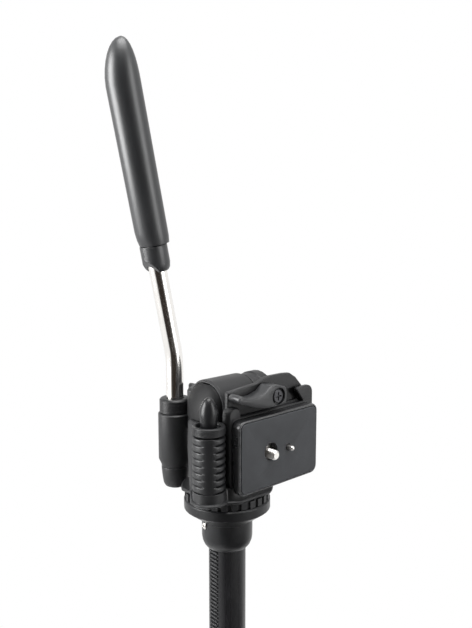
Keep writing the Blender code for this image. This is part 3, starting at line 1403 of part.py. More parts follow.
def build_crank(crank):
    """The pinion on its shaft, and the arm that turns it."""
    gear = along_y(spun(prism(pinion_outline(), -PINION_WIDTH / 2, PINION_WIDTH / 2), pinion_phase()))
    pinion = piece("crank_pinion", gear, "steel", crank, 25)
    near = -CRANK_BOSS_REACH - GAP
    shaft_end = near - CRANK_ARM_THICKNESS - 1 * MM
    join(pinion, along_y(rod(CRANK_SHAFT_RADIUS, shaft_end, HOUSING_WIDTH / 2 - 2 * MM)))
    far = near - CRANK_ARM_THICKNESS
    inner_end = circle(0, 0, CRANK_ARM_WIDTH / 2 + 1 * MM, 24)
    outline = hull(inner_end + circle(0, -CRANK_ARM_LENGTH, CRANK_ARM_WIDTH / 2, 24))
    bar = softened(along_y(prism(outline, far, near)), 0.8 * MM, 60)
    arm = piece("crank_arm", bar, "black_plastic", crank)
    cut(arm, along_y(rod(CRANK_SHAFT_RADIUS + GAP, far - 2 * MM, near + 1 * MM)))
    pin_end = far - CRANK_KNOB_LENGTH + 3 * MM
    join(arm, moved(along_y(rod(CRANK_PIN_RADIUS, pin_end, near - 1 * MM, 14)), 0, 0, -CRANK_ARM_LENGTH))


def build_crank_knob(knob):
    """The knob that spins on the crank arm's pin."""
    start = -CRANK_BOSS_REACH - GAP - CRANK_ARM_THICKNESS - GAP
    end = start - CRANK_KNOB_LENGTH
    profile = [
        (CRANK_PIN_RADIUS + GAP, start),
        (CRANK_KNOB_RADIUS * 0.75, start),
        (CRANK_KNOB_RADIUS * 0.85, start - 2 * MM),
        (CRANK_KNOB_RADIUS, start - CRANK_KNOB_LENGTH * 0.6),
        (CRANK_KNOB_RADIUS, end + 3 * MM),
        (CRANK_KNOB_RADIUS * 0.7, end),
        (CRANK_PIN_RADIUS + GAP, end),
    ]
    piece("crank_knob", along_y(turned(profile, 24)), "black_plastic", knob)


def shoulder_profile():
    bore = GUIDE_RADIUS + GAP
    return [
        (RACK_FACE + GAP, GUIDE_FLANGE + GAP),
        (bore, GUIDE_FLANGE + GAP),
        (bore, 0),
        (SHOULDER_RADIUS - 1.5 * MM, 0),
        (SHOULDER_RADIUS, 1.5 * MM),
        (SHOULDER_RADIUS, SHOULDER_HEIGHT - 6 * MM),
        (SHOULDER_TOP_RADIUS, SHOULDER_HEIGHT),
        (SHOULDER_TOP_RADIUS, SHOULDER_HEIGHT + SHOULDER_NECK_HEIGHT - 1 * MM),
        (SHOULDER_TOP_RADIUS - 1 * MM, SHOULDER_HEIGHT + SHOULDER_NECK_HEIGHT),
        (RACK_FACE + GAP, SHOULDER_HEIGHT + SHOULDER_NECK_HEIGHT),
    ]


def yoke_outline():
    """One cheek of a leg yoke, in X and Z, from the hub out to the leg's pivot."""
    z = YOKE_RADIUS + 2.0 * MM
    return hull(
        circle(PIVOT_RADIUS, z, YOKE_RADIUS, 16)
        + [(SHOULDER_RADIUS - 6 * MM, 1 * MM), (SHOULDER_RADIUS - 6 * MM, YOKE_INNER_HEIGHT)]
    )


def build_shoulder(frame):
    """The shoulder: hub, three leg yokes, crank housing and the boss of the column lock."""
    shoulder = piece("shoulder", turned(shoulder_profile()), "black_plastic", frame)
    inner = YOKE_GAP_WIDTH / 2 + GAP
    for leg in range(LEG_COUNT):
        for low, high in ((inner, inner + YOKE_WALL), (-inner - YOKE_WALL, -inner)):
            join(shoulder, spun(along_y(prism(yoke_outline(), low, high)), 360 / LEG_COUNT * leg))
    half = HOUSING_WIDTH / 2
    top = CRANK_HEIGHT + HOUSING_HEIGHT / 2
    low = CRANK_HEIGHT - HOUSING_HEIGHT / 2
    outline = rounded_outline(-HOUSING_REACH, -RACK_FACE - 2 * MM, low, top, 7 * MM)
    housing = softened(along_y(prism(outline, -half, half)), 1 * MM, 60)
    crank_boss = along_y(rod(CRANK_BOSS_RADIUS, -CRANK_BOSS_REACH, 1 * MM - half, 24))
    crank_boss = moved(crank_boss, CRANK_X, 0, CRANK_HEIGHT)
    lock_boss = along_x(rod(LOCK_SCREW_RADIUS + 4 * MM, RACK_FACE + 2 * MM, LOCK_SEAT, 24))
    join(shoulder, housing, crank_boss, moved(spun(lock_boss, LOCK_KNOB_ANGLE), z=CRANK_HEIGHT))
    room = PINION_RADIUS + RACK_TOOTH_HEIGHT + 0.6 * MM
    wide = PINION_WIDTH / 2 + GAP
    chamber = along_y(rod(room, -wide, wide, ROUND))
    mouth = box(CRANK_X, 0, -wide, wide, CRANK_HEIGHT - room, CRANK_HEIGHT + room)
    shaft_hole = along_y(rod(CRANK_SHAFT_RADIUS + GAP, -CRANK_BOSS_REACH - 1 * MM, half - 2 * MM + GAP))
    cut(shoulder, moved(chamber, CRANK_X, 0, CRANK_HEIGHT), mouth)
    cut(shoulder, moved(shaft_hole, CRANK_X, 0, CRANK_HEIGHT))
    cut(shoulder, rack_way(-1 * MM, SHOULDER_HEIGHT + SHOULDER_NECK_HEIGHT + 1 * MM))
    screw_hole = along_x(rod(LOCK_SCREW_RADIUS + GAP, RACK_FACE - 2 * MM, LOCK_SEAT + 2 * MM))
    cut(shoulder, moved(spun(screw_hole, LOCK_KNOB_ANGLE), z=CRANK_HEIGHT))
    reach = YOKE_GAP_WIDTH / 2 + YOKE_WALL + 2 * MM
    for leg in range(LEG_COUNT):
        pin_hole = along_y(rod(LEG_PIN_RADIUS + GAP, -reach, reach))
        pin_hole = moved(pin_hole, PIVOT_RADIUS, 0, YOKE_RADIUS + 2 * MM)
        cut(shoulder, spun(pin_hole, 360 / LEG_COUNT * leg))
    return shoulder


def build_column_lock(axis):
    """The wing of the column lock: a fluted knob with its screw, about its own Z."""
    seat = LOCK_SEAT + GAP
    knob = fluted(LOCK_KNOB_RADIUS, seat, seat + LOCK_KNOB_LENGTH, LOCK_KNOB_FLUTES, 1.6 * MM, 1.0 * MM)
    lock = piece("column_lock_knob", knob, "black_plastic", axis)
    join(lock, rod(LOCK_SCREW_RADIUS, RACK_FACE + 2 * GAP, seat + 2 * MM))


def rack_way(low, high):
    """The keyway that lets the rack's corners pass through a round bore."""
    reach = RACK_FACE + 1.5 * GAP
    half = RACK_WIDTH / 2 + GAP
    return box(-reach, -COLUMN_RADIUS / 2, -half, half, low, high)


def build_guide_tube(frame):
    """The tube under the shoulder that the column and the spreader's hub slide on."""
    inner = RACK_FACE + GAP
    top = GUIDE_FLANGE
    profile = [
        (inner, -GUIDE_LENGTH),
        (GUIDE_RADIUS + 2.5 * MM, -GUIDE_LENGTH),
        (GUIDE_RADIUS + 2.5 * MM, -GUIDE_LENGTH + 6 * MM),
        (GUIDE_RADIUS, -GUIDE_LENGTH + 7 * MM),
        (GUIDE_RADIUS, top),
        (inner, top),
    ]
    tube = piece("guide_tube", turned(profile), "black_tube", frame)
    cut(tube, rack_way(-GUIDE_LENGTH - 1 * MM, top + 1 * MM))


def build_leg_pin(frame, leg):
    """The hinge pin of one leg, through the yoke's cheeks and the leg's head."""
    reach = YOKE_GAP_WIDTH / 2 + GAP + YOKE_WALL
    start = -reach - GAP - LEG_PIN_HEAD_HEIGHT
    profile = [
        (0, start),
        (LEG_PIN_HEAD_RADIUS - 0.6 * MM, start),
        (LEG_PIN_HEAD_RADIUS, start + 0.6 * MM),
        (LEG_PIN_HEAD_RADIUS, -reach - GAP),
        (LEG_PIN_RADIUS, -reach - GAP),
        (LEG_PIN_RADIUS, reach + 0.8 * MM),
        (0, reach + 0.8 * MM),
    ]
    pin = moved(along_y(turned(profile, SMALL_ROUND)), PIVOT_RADIUS, 0, YOKE_RADIUS + 2 * MM)
    piece(f"leg_{leg + 1}_hinge_pin", spun(pin, 360 / LEG_COUNT * leg), "steel", frame)


def build_upper_leg(hinge, leg):
    """An upper leg: a head that fits the yoke, a hollow tube and the bracket of the strut."""
    inner = UPPER_LEG_RADIUS - UPPER_LEG_WALL
    start = -LEG_HEAD_LENGTH + 4 * MM
    low = -UPPER_LEG_LENGTH
    roof = start - LEG_HEAD_PLUG
    outer = UPPER_LEG_RADIUS
    profile = [(inner, low), (outer, low), (outer, start), (0, start), (0, roof), (inner, roof)]
    upper = piece(f"leg_{leg + 1}_upper", turned(profile, LEG_ROUND), "black_tube", hinge)
    half = YOKE_GAP_WIDTH / 2
    foot = [(-half, start - 2 * MM), (half, start - 2 * MM)]
    outline = hull(circle(0, 0, YOKE_RADIUS - 1 * MM, 20) + foot)
    head = softened(along_y(prism(outline, -half, half)), 0.8 * MM, 60)
    join(upper, head)
    inset = bracket_gap() / 2
    for low_y, high_y in ((inset, inset + BRACKET_WALL), (-inset - BRACKET_WALL, -inset)):
        cheek = along_y(prism(bracket_outline(), low_y, high_y))
        join(upper, cheek)
    cut(upper, along_y(rod(LEG_PIN_RADIUS + GAP, -half - 1 * MM, half + 1 * MM)))
    return upper


def bracket_gap():
    return STRUT_WIDTH + 2 * GAP


def bracket_outline():
    """A cheek of the strut's bracket, in X and Z, on the leg's inner side."""
    z = -STRUT_ON_LEG
    half = BRACKET_HEIGHT / 2
    foot = [(-UPPER_LEG_RADIUS + 2.5 * MM, z + side * (half + 3 * MM)) for side in (1, -1)]
    return hull(circle(-STRUT_INSET, z, half, 16) + foot)


def clamp_low():
    return -UPPER_LEG_LENGTH + CLAMP_OVERLAP - CLAMP_LENGTH


def clamp_pivot_z():
    return clamp_low() + CLAMP_LENGTH * 0.72


def build_leg_clamp(hinge, leg):
    """The collar that clamps the lower leg, with a lug for its lever."""
    top = clamp_low() + CLAMP_LENGTH
    step = -UPPER_LEG_LENGTH - GAP
    edge = 1.0 * MM
    profile = [
        (LOWER_LEG_RADIUS + GAP, clamp_low()),
        (CLAMP_RADIUS - edge, clamp_low()),
        (CLAMP_RADIUS, clamp_low() + edge),
        (CLAMP_RADIUS, top - edge),
        (CLAMP_RADIUS - edge, top),
        (UPPER_LEG_RADIUS + GAP, top),
        (UPPER_LEG_RADIUS + GAP, step),
        (LOWER_LEG_RADIUS + GAP, step),
    ]
    clamp = piece(f"leg_{leg + 1}_clamp", turned(profile, LEG_ROUND), "black_plastic", hinge)
    z = clamp_pivot_z()
    foot = [(CLAMP_RADIUS - 2 * MM, z + side * CLAMP_LUG_FOOT) for side in (1, -1)]
    outline = hull(circle(CLAMP_PIVOT_REACH, z, 3.6 * MM, 16) + foot)
    half = CLAMP_LUG_WIDTH / 2
    join(clamp, along_y(prism(outline, -half, half)))
    hole = along_y(rod(CLAMP_PIN_RADIUS + GAP, -half - 1 * MM, half + 1 * MM, 14))
    cut(clamp, moved(hole, CLAMP_PIVOT_REACH, 0, z))


def build_clamp_lever(axis, leg):
    """The flip lever: two cheeks with a pin through the lug, and a paddle that lies on the clamp."""
    half = CLAMP_LUG_WIDTH / 2 + GAP
    width = CLAMP_LEVER_WIDTH / 2
    outline = [(3.6 * MM, 2.2 * MM), (2.0 * MM, 3.8 * MM), (-1.0 * MM, 3.8 * MM), (-2.4 * MM, 2.4 * MM),
               (-2.4 * MM, -CLAMP_LEVER_LENGTH + 2 * MM), (-1.0 * MM, -CLAMP_LEVER_LENGTH),
               (1.2 * MM, -CLAMP_LEVER_LENGTH), (4.0 * MM, -6 * MM)]
    paddle = softened(along_y(prism(outline, -width, width)), 0.7 * MM, 60)
    lever = piece(f"leg_{leg + 1}_clamp_lever", paddle, "grey_black_plastic", axis)
    reach = CLAMP_LUG_FOOT + GAP
    cut(lever, box(-reach, 8 * MM, -half, half, -reach, reach))
    join(lever, along_y(rod(CLAMP_PIN_RADIUS, -width + 1 * MM, width - 1 * MM, 14)))


def build_lower_leg(slide, leg):
    """The sliding lower leg tube. It is hollow and open at its lower end, in the foot."""
    low = -FOLDED_LEG - FOOT_LENGTH * 0.3
    top = low + LOWER_LEG_LENGTH
    inner = LOWER_LEG_RADIUS - LOWER_LEG_WALL
    profile = [(inner, low), (LOWER_LEG_RADIUS, low), (LOWER_LEG_RADIUS, top), (inner, top)]
    piece(f"leg_{leg + 1}_lower", turned(profile, LEG_ROUND), "black_tube", slide)


def build_foot(slide, leg):
    """The rubber foot. Its round end is cut flat where it stands on the floor."""
    top = -FOLDED_LEG
    socket = -FOLDED_LEG - FOOT_LENGTH * 0.3 - GAP
    centre = -FOOT_AXIS
    profile = [(0, socket), (LOWER_LEG_RADIUS + GAP, socket), (LOWER_LEG_RADIUS + GAP, top),
               (LOWER_LEG_RADIUS + 1.8 * MM, top), (LOWER_LEG_RADIUS + 2.2 * MM, top - 1 * MM)]
    for step in range(6):
        angle = math.radians(10 - 100 * step / 6)
        profile.append((FOOT_RADIUS * math.cos(angle), centre + FOOT_RADIUS * math.sin(angle)))
    profile.append((0, centre - FOOT_RADIUS))
    foot = piece(f"leg_{leg + 1}_foot", turned(profile, LEG_ROUND), "rubber", slide, 50)
    reach = 2 * FOOT_RADIUS
    under = box(-reach, reach, -reach, reach, -reach, 0)
    under = spun(under, LEG_SPREAD, "Y")
    across, along = foot_shift()
    cut(foot, moved(under, across - PIVOT_Z * math.sin(SPREAD), 0, along - PIVOT_Z * math.cos(SPREAD)))


def foot_shift():
    """Moves the floor's cutting block from under the pivot to under the foot, in the leg's frame."""
    outward = FOOT_AXIS * math.sin(SPREAD)
    return outward * math.cos(SPREAD), -outward * math.sin(SPREAD)


def hub_geometry():
    """The hub pin's height over the shoulder's bottom and the strut's tilt, with the legs spread."""
    pivot_z = YOKE_RADIUS + 2 * MM
    bracket_x = PIVOT_RADIUS + STRUT_ON_LEG * math.sin(SPREAD) - STRUT_INSET * math.cos(SPREAD)
    bracket_z = pivot_z - STRUT_ON_LEG * math.cos(SPREAD) - STRUT_INSET * math.sin(SPREAD)
    across = bracket_x - HUB_PIN_RADIUS
    rise = math.sqrt(STRUT_LENGTH**2 - across**2)
    return bracket_z + rise, math.degrees(math.atan2(rise, across))


def build_spreader_hub(hub):
    """The ring that slides on the guide tube, with three pairs of ears."""
    half = HUB_HEIGHT / 2
    bore = GUIDE_RADIUS + GAP
    profile = [(bore, -half), (HUB_RADIUS, -half), (HUB_RADIUS, half), (bore, half)]
    ring = piece("spreader_hub", turned(profile), "black_plastic", hub)
    inner = bracket_gap() / 2
    foot = [(HUB_RADIUS - 1.5 * MM, half), (HUB_RADIUS - 1.5 * MM, -half)]
    outline = hull(circle(HUB_PIN_RADIUS, 0, HUB_EAR_RADIUS, 10) + foot)
    for leg in range(LEG_COUNT):
        for low, high in ((inner, inner + HUB_EAR_WALL), (-inner - HUB_EAR_WALL, -inner)):
            join(ring, spun(along_y(prism(outline, low, high)), 360 / LEG_COUNT * leg))
        reach = inner + HUB_EAR_WALL + 1 * MM
        hole = along_y(rod(STRUT_PIN_RADIUS + GAP, -reach, reach, 14))
        cut(ring, spun(moved(hole, HUB_PIN_RADIUS), 360 / LEG_COUNT * leg))


def build_strut(axis, leg):
    """A brace from the hub to a leg. Its pin sits in the hub's ears, and its outer end lies
    between the bracket's cheeks on the leg."""
    half = STRUT_WIDTH / 2
    end = STRUT_LENGTH
    bar = hull(circle(0, 0, 3.4 * MM, 14) + circle(end, 0, 3.4 * MM, 14))
    bar = softened(along_y(prism(bar, -half, half)), 0.6 * MM, 60)
    strut = piece(f"leg_{leg + 1}_strut", bar, "black_plastic", axis)
    reach = bracket_gap() / 2 + HUB_EAR_WALL
    join(strut, along_y(rod(STRUT_PIN_RADIUS, -reach, reach, 14)))
    web = STRUT_THICKNESS / 2
    for side in (1, -1):
        pocket = rounded_outline(8 * MM, end - 12 * MM, -1.9 * MM, 1.9 * MM, 1.5 * MM, 1)
        cut(strut, along_y(prism(pocket, side * web, side * (half + 1 * MM))))


def build_head(column):
    head = empty("head_frame", column)
    build_pan_cup(head)
    build_neck_screw(head)
    build_pan_bolt(head)
    build_pan_lock_ring(empty("pan_lock_axis", head))
    pan = empty("pan_axis", head)
    build_pan_body(pan)
    sleeve = empty("sleeve_axis", pan, (SLEEVE_X, SLEEVE_Y, 0))
    build_ribbed_sleeve(sleeve)
    build_sleeve_collar(sleeve)
    build_bullet_post(sleeve)
    tilt = empty("tilt_axis", pan, (TILT_X, 0, HINGE_HEIGHT))
    build_tilt_body(tilt)
    build_tilt_cover(tilt)
    build_tilt_axle(tilt)
    build_side_axle(tilt)
    build_handle_barrel(tilt)
    build_barrel_cap(tilt)
    handle = empty("handle_axis", tilt, (BARREL_X - TILT_X, BARREL_Y, -HINGE_HEIGHT))
    build_handle_collar(handle)
    build_handle_tube(handle)
    build_grip_sleeve(handle)
    build_handle_grip(handle)
    side = empty("side_axis", tilt, (-TILT_X, SIDE_Y, 0))
    build_platform(side)
    build_lever_screw(side)
    build_side_knob(empty("side_knob_axis", side))
    build_camera_plate(side)
    build_plate_pad(side)
    screw_z = SCREW_HOLE_HEIGHT - SCREW_DROP - HINGE_HEIGHT
    build_camera_screw(empty("camera_screw_axis", side, (SCREW_X, -SIDE_Y, screw_z)))
    build_video_pin(empty("video_pin_axis", side, (PIN_X, -SIDE_Y, PIN_HEIGHT - HINGE_HEIGHT)))
    lever = empty("lever_axis", side, (LEVER_PIVOT_X, -SIDE_Y, LEVER_PIVOT_HEIGHT - HINGE_HEIGHT))
    build_plate_lever(lever)


def build_column_group(root):
    slide = empty("column_slide", root, (COLUMN_X, 0, PAN_Z))
    build_column(slide)
    build_gear_rack(slide)
    build_column_cap(slide)
    build_head(slide)


def build_shoulder_group(root):
    frame = empty("shoulder_frame", root, (COLUMN_X, 0, SHOULDER_BOTTOM))
    build_shoulder(frame)
    build_guide_tube(frame)
    crank = empty("crank_axis", frame, (CRANK_X, 0, CRANK_HEIGHT))
    build_crank(crank)
    build_crank_knob(empty("crank_knob_axis", crank, (0, 0, -CRANK_ARM_LENGTH)))
    lock = empty("column_lock_axis", frame, (0, 0, CRANK_HEIGHT), (0, 90, LOCK_KNOB_ANGLE))
    build_column_lock(lock)
    return frame


def build_legs(frame):
    pin_z, strut_angle = hub_geometry()
    hub = empty("hub_slide", frame, (0, 0, pin_z))
    build_spreader_hub(hub)
    for leg in range(LEG_COUNT):
        around = 360 / LEG_COUNT * leg
        build_leg_pin(frame, leg)
        sector = empty(f"leg_{leg + 1}_sector", frame, (0, 0, YOKE_RADIUS + 2 * MM), (0, 0, around))
        hinge = empty(f"leg_{leg + 1}_hinge", sector, (PIVOT_RADIUS, 0, 0), (0, -LEG_SPREAD, 0))
        build_upper_leg(hinge, leg)
        build_leg_clamp(hinge, leg)
        lever = empty(f"leg_{leg + 1}_clamp_axis", hinge, (CLAMP_PIVOT_REACH, 0, clamp_pivot_z()))
        build_clamp_lever(lever, leg)
        slide = empty(f"leg_{leg + 1}_slide", hinge)
        build_lower_leg(slide, leg)
        build_foot(slide, leg)
        strut_sector = empty(f"leg_{leg + 1}_strut_sector", hub, (0, 0, 0), (0, 0, around))
        at_ear = (HUB_PIN_RADIUS, 0, 0)
        strut = empty(f"leg_{leg + 1}_strut_axis", strut_sector, at_ear, (0, strut_angle, 0))
        build_strut(strut, leg)


def main():
    clear_scene()
    bpy.context.scene.unit_settings.scale_length = 1.0
    root = empty("tripod")
    frame = build_shoulder_group(root)
    build_legs(frame)
    build_column_group(root)


main()
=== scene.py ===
"""Video tripod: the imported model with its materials, its small surface details, camera and light.

Places are in metres in the row frame. The profiles of the detail pieces are in millimetres."""

import json
import math

import bmesh
import bpy
from mathutils import Matrix, Vector


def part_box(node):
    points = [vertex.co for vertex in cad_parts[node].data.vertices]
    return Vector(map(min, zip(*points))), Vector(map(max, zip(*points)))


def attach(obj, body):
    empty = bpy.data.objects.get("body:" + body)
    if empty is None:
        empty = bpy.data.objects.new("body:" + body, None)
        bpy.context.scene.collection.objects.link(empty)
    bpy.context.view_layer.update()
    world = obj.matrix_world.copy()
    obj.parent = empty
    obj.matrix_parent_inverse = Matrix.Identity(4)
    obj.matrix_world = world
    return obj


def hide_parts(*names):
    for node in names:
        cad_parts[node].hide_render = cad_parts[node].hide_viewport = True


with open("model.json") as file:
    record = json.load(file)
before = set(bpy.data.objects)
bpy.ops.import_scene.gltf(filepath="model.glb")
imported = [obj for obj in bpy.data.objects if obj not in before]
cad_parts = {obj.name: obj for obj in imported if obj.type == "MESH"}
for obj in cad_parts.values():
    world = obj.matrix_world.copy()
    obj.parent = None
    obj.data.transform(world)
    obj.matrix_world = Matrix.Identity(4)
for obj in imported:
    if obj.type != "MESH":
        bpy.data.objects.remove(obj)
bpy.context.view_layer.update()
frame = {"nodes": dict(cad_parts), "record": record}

MM = 0.001
WHITE = (1.0, 1.0, 1.0, 1.0)
SCENE = bpy.context.scene


def pan_joint():
    """The middle of the lock ring's underside, which the head is placed from."""
    low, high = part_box("pan_lock_ring")
    return Vector(((low.x + high.x) / 2, (low.y + high.y) / 2, low.z))


PAN = pan_joint()


# Camera, solved from the head's edges in the photograph. Angles are in degrees.

CAMERA_FROM_PAN = Vector((-0.28968, -0.32457, 0.177))
CAMERA_TILT = 82.2
CAMERA_TURN = -42.5
CAMERA_LENS = 26.98
CAMERA_SENSOR = 24.0
CAMERA_NEAR = 0.01
CAMERA_FAR = 50


def add_camera():
    data = bpy.data.cameras.new("camera")
    data.sensor_fit = "VERTICAL"
    data.sensor_height = CAMERA_SENSOR
    data.lens = CAMERA_LENS
    data.clip_start = CAMERA_NEAR
    data.clip_end = CAMERA_FAR
    camera = bpy.data.objects.new("camera", data)
    camera.location = PAN + CAMERA_FROM_PAN
    camera.rotation_euler = (math.radians(CAMERA_TILT), 0, math.radians(CAMERA_TURN))
    SCENE.collection.objects.link(camera)
    SCENE.camera = camera


# Node trees

MIX_FIRST = 6
MIX_SECOND = 7
MIX_RESULT = 2
BEVEL_SAMPLES = 4
EDGE_FLAT = 0.995
EDGE_SHARP = 0.90
NOISE_LOW = 0.3
NOISE_HIGH = 0.7


def shade(colour, factor):
    """A colour made darker or lighter, with its alpha added."""
    return tuple(channel * factor for channel in colour) + (1.0,)


class Tree:
    """Short names for adding and joining the nodes of a world or a material."""

    def __init__(self, owner):
        owner.use_nodes = True
        self.tree = owner.node_tree

    def add(self, kind, inputs=None, **settings):
        made = self.tree.nodes.new(kind)
        for key, value in settings.items():
            setattr(made, key, value)
        for key, value in (inputs or {}).items():
            self.put(value, made.inputs[key])
        return made

    def put(self, value, socket):
        if isinstance(value, bpy.types.NodeSocket):
            self.tree.links.new(value, socket)
        else:
            socket.default_value = value

    def maths(self, operation, *values):
        return self.add("ShaderNodeMath", dict(enumerate(values)), operation=operation).outputs[0]

    def ranged(self, value, low, high, start=0.0, end=1.0, **settings):
        inputs = {"Value": value, "From Min": start, "From Max": end, "To Min": low, "To Max": high}
        return self.add("ShaderNodeMapRange", inputs, **settings).outputs["Result"]

    def mixed(self, share, first, second):
        inputs = {"Factor": share, MIX_FIRST: first, MIX_SECOND: second}
        return self.add("ShaderNodeMix", inputs, data_type="RGBA").outputs[MIX_RESULT]

    def seen_by(self, *rays):
        """1 for a ray of one of the named kinds, and 0 for any other."""
        path = self.add("ShaderNodeLightPath").outputs
        share = path[rays[0]]
        for ray in rays[1:]:
            share = self.maths("MAXIMUM", share, path[ray])
        return share


class Paint(Tree):
    """A material with its Principled shader and the place of a point on its object."""

    def __init__(self, name):
        self.material = bpy.data.materials.new(name)
        super().__init__(self.material)
        self.shader = self.tree.nodes["Principled BSDF"]
        self.place = self.add("ShaderNodeTexCoord").outputs["Object"]

    def noise(self, scale, detail=3.0, stretch=None):
        place = self.place
        if stretch:
            place = self.add("ShaderNodeMapping", {"Vector": place, "Scale": stretch}).outputs[0]
        inputs = {"Vector": place, "Scale": scale, "Detail": detail}
        return self.add("ShaderNodeTexNoise", inputs).outputs["Fac"]

    def toned(self, noise, colour, first, second, start=NOISE_LOW, end=NOISE_HIGH):
        """A colour that goes from one strength to another while a noise goes from start to end."""
        share = self.ranged(noise, 0.0, 1.0, start, end)
        return self.mixed(share, shade(colour, first), shade(colour, second))

    def drifting(self, noise, roughness, less, more, start=NOISE_LOW, end=NOISE_HIGH):
        """A roughness that drifts to a little less and a little more with a noise."""
        return self.ranged(noise, roughness - less, roughness + more, start, end)

    def bevel(self, radius):
        return self.add("ShaderNodeBevel", {"Radius": radius}, samples=BEVEL_SAMPLES).outputs["Normal"]

    def edge_share(self, normal):
        """How strongly an edge turns under a point, from 0 on a flat to 1 on a sharp corner."""
        flat = self.add("ShaderNodeNewGeometry").outputs["Normal"]
        dot = self.add("ShaderNodeVectorMath", {0: normal, 1: flat}, operation="DOT_PRODUCT")
        return self.ranged(dot.outputs["Value"], 0.0, 1.0, EDGE_FLAT, EDGE_SHARP)

    def bump(self, height, strength, distance, normal):
        inputs = {"Height": height, "Strength": strength, "Distance": distance, "Normal": normal}
        return self.add("ShaderNodeBump", inputs).outputs["Normal"]

    def surface(self, node):
        """Shows a node's shader in place of the Principled one."""
        self.put(node.outputs[0], self.tree.nodes["Material Output"].inputs["Surface"])

    def finish(self, **values):
        for key, value in values.items():
            self.put(value, self.shader.inputs[key.replace("_", " ")])
        return self.material


# Light. A softbox has its place, its width and height, and its watts.

HEAD_MIDDLE = Vector((0, 0, 0.06))
LIGHT_AIM = Vector((0, 0, 0.05))
WORLD_LEVEL = 0.22
SOFTBOXES = {
    "key": ((-1.35, 0.28, 0.35), (0.8, 1.3), 50),
    "top": ((0.1, 1.5, 0.15), (1.3, 1.0), 34),
    "fill": ((1.35, 0.35, 0.55), (0.6, 1.5), 14),
}


def aim(obj, target):
    obj.rotation_euler = (target - obj.location).to_track_quat("-Z", "Y").to_euler()


def view_point(right, up, toward):
    """A point in metres from the head's middle: right and up in the photograph, and toward the
    camera."""
    turn = math.radians(CAMERA_TURN)
    side = Vector((math.cos(turn), math.sin(turn), 0))
    back = Vector((math.sin(turn), -math.cos(turn), 0))
    return PAN + HEAD_MIDDLE + side * right + Vector((0, 0, up)) + back * toward


def add_softbox(name, place, size, watts):
    data = bpy.data.lights.new(name, "AREA")
    data.shape = "RECTANGLE"
    data.size = size[0]
    data.size_y = size[1]
    data.energy = watts
    light = bpy.data.objects.new(name, data)
    light.location = view_point(*place)
    SCENE.collection.objects.link(light)
    aim(light, PAN + LIGHT_AIM)


def add_world():
    """White behind the object and in its reflections, and a plain softer level for its light."""
    world = bpy.data.worlds.new("studio")
    tree = Tree(world)
    tree.tree.nodes.clear()
    seen = tree.seen_by("Is Camera Ray", "Is Transmission Ray", "Is Glossy Ray")
    level = tree.ranged(seen, WORLD_LEVEL, 1.0)
    background = tree.add("ShaderNodeBackground", {"Color": WHITE, "Strength": level})
    tree.add("ShaderNodeOutputWorld", {"Surface": background.outputs[0]})
    SCENE.world = world


# Floor and dark cards. They are the studio round the object and no part of it.

FLOOR_SIZE = 12.0
FLOOR_DROP = 0.0002
FLOOR_PAPER = (0.86, 0.86, 0.86, 1)
FLOOR_ROUGHNESS = 0.9
FLOOR_FADE_START = 0.30
FLOOR_FADE_END = 0.85

CARD_DARK_SHARE = 0.45
CARD_FADE_POWER = 2.5
CARD_RIGHT = 0.02

END_PLACE = (CARD_RIGHT, 0.1, 1.3)
END_AIM = Vector((0, 0, 0.16))
END_SIZE = (3.0, 3.4)
END_COLOUR = (0.030, 0.024, 0.020, 1)

GROUND_HEIGHT = 0.03
GROUND_TOWARD = 0.85
GROUND_SIZE = (3.0, 0.9)
GROUND_COLOUR = (0.030, 0.027, 0.025, 1)


def add_flat(name, size, place, material):
    """A flat rectangle of the studio."""
    x = size[0] / 2
    y = size[1] / 2
    mesh = bpy.data.meshes.new(name)
    mesh.from_pydata([(-x, -y, 0), (x, -y, 0), (x, y, 0), (-x, y, 0)], [], [(0, 1, 2, 3)])
    mesh.materials.append(material)
    flat = bpy.data.objects.new(name, mesh)
    flat.location = place
    SCENE.collection.objects.link(flat)
    return flat


def floor_paper():
    """Pale paper. It keeps the shadow round the feet and fades to white further out."""
    paint = Paint("floor_paper")
    distance = paint.add("ShaderNodeVectorMath", {0: paint.place}, operation="LENGTH").outputs["Value"]
    fade = paint.ranged(
        distance, 0.0, 1.0, FLOOR_FADE_START, FLOOR_FADE_END, interpolation_type="SMOOTHSTEP"
    )
    share = paint.maths("MULTIPLY", fade, paint.seen_by("Is Camera Ray", "Is Glossy Ray"))
    glow = paint.add("ShaderNodeEmission")
    shaders = {0: share, 1: paint.shader.outputs[0], 2: glow.outputs[0]}
    paint.surface(paint.add("ShaderNodeMixShader", shaders))
    return paint.finish(Base_Color=FLOOR_PAPER, Roughness=FLOOR_ROUGHNESS)


def card_paint(name, colour, size):
    """Dark in the middle of a card, and as white as the studio at its edges."""
    paint = Paint(name)
    spot = paint.add("ShaderNodeSeparateXYZ", {0: paint.place}).outputs
    across = paint.maths("DIVIDE", paint.maths("ABSOLUTE", spot["X"]), size[0] / 2)
    along = paint.maths("DIVIDE", paint.maths("ABSOLUTE", spot["Y"]), size[1] / 2)
    edge = paint.maths("MAXIMUM", across, along)
    fade = paint.maths("POWER", paint.ranged(edge, 0.0, 1.0, CARD_DARK_SHARE, 1.0), CARD_FADE_POWER)
    paint.surface(paint.add("ShaderNodeEmission", {"Color": paint.mixed(fade, colour, WHITE)}))
    return paint.material


def add_dark_card(name, place, target, size, colour):
    """A dark end of the studio, on the camera's side. Only gloss sees it: it is the dark stripe down
    the chrome tube and the dark middle of every upright black cylinder."""
    card = add_flat(name, size, place, card_paint(name, colour, size))
    aim(card, target)
    card.visible_camera = False
    card.visible_diffuse = False
    card.visible_shadow = False


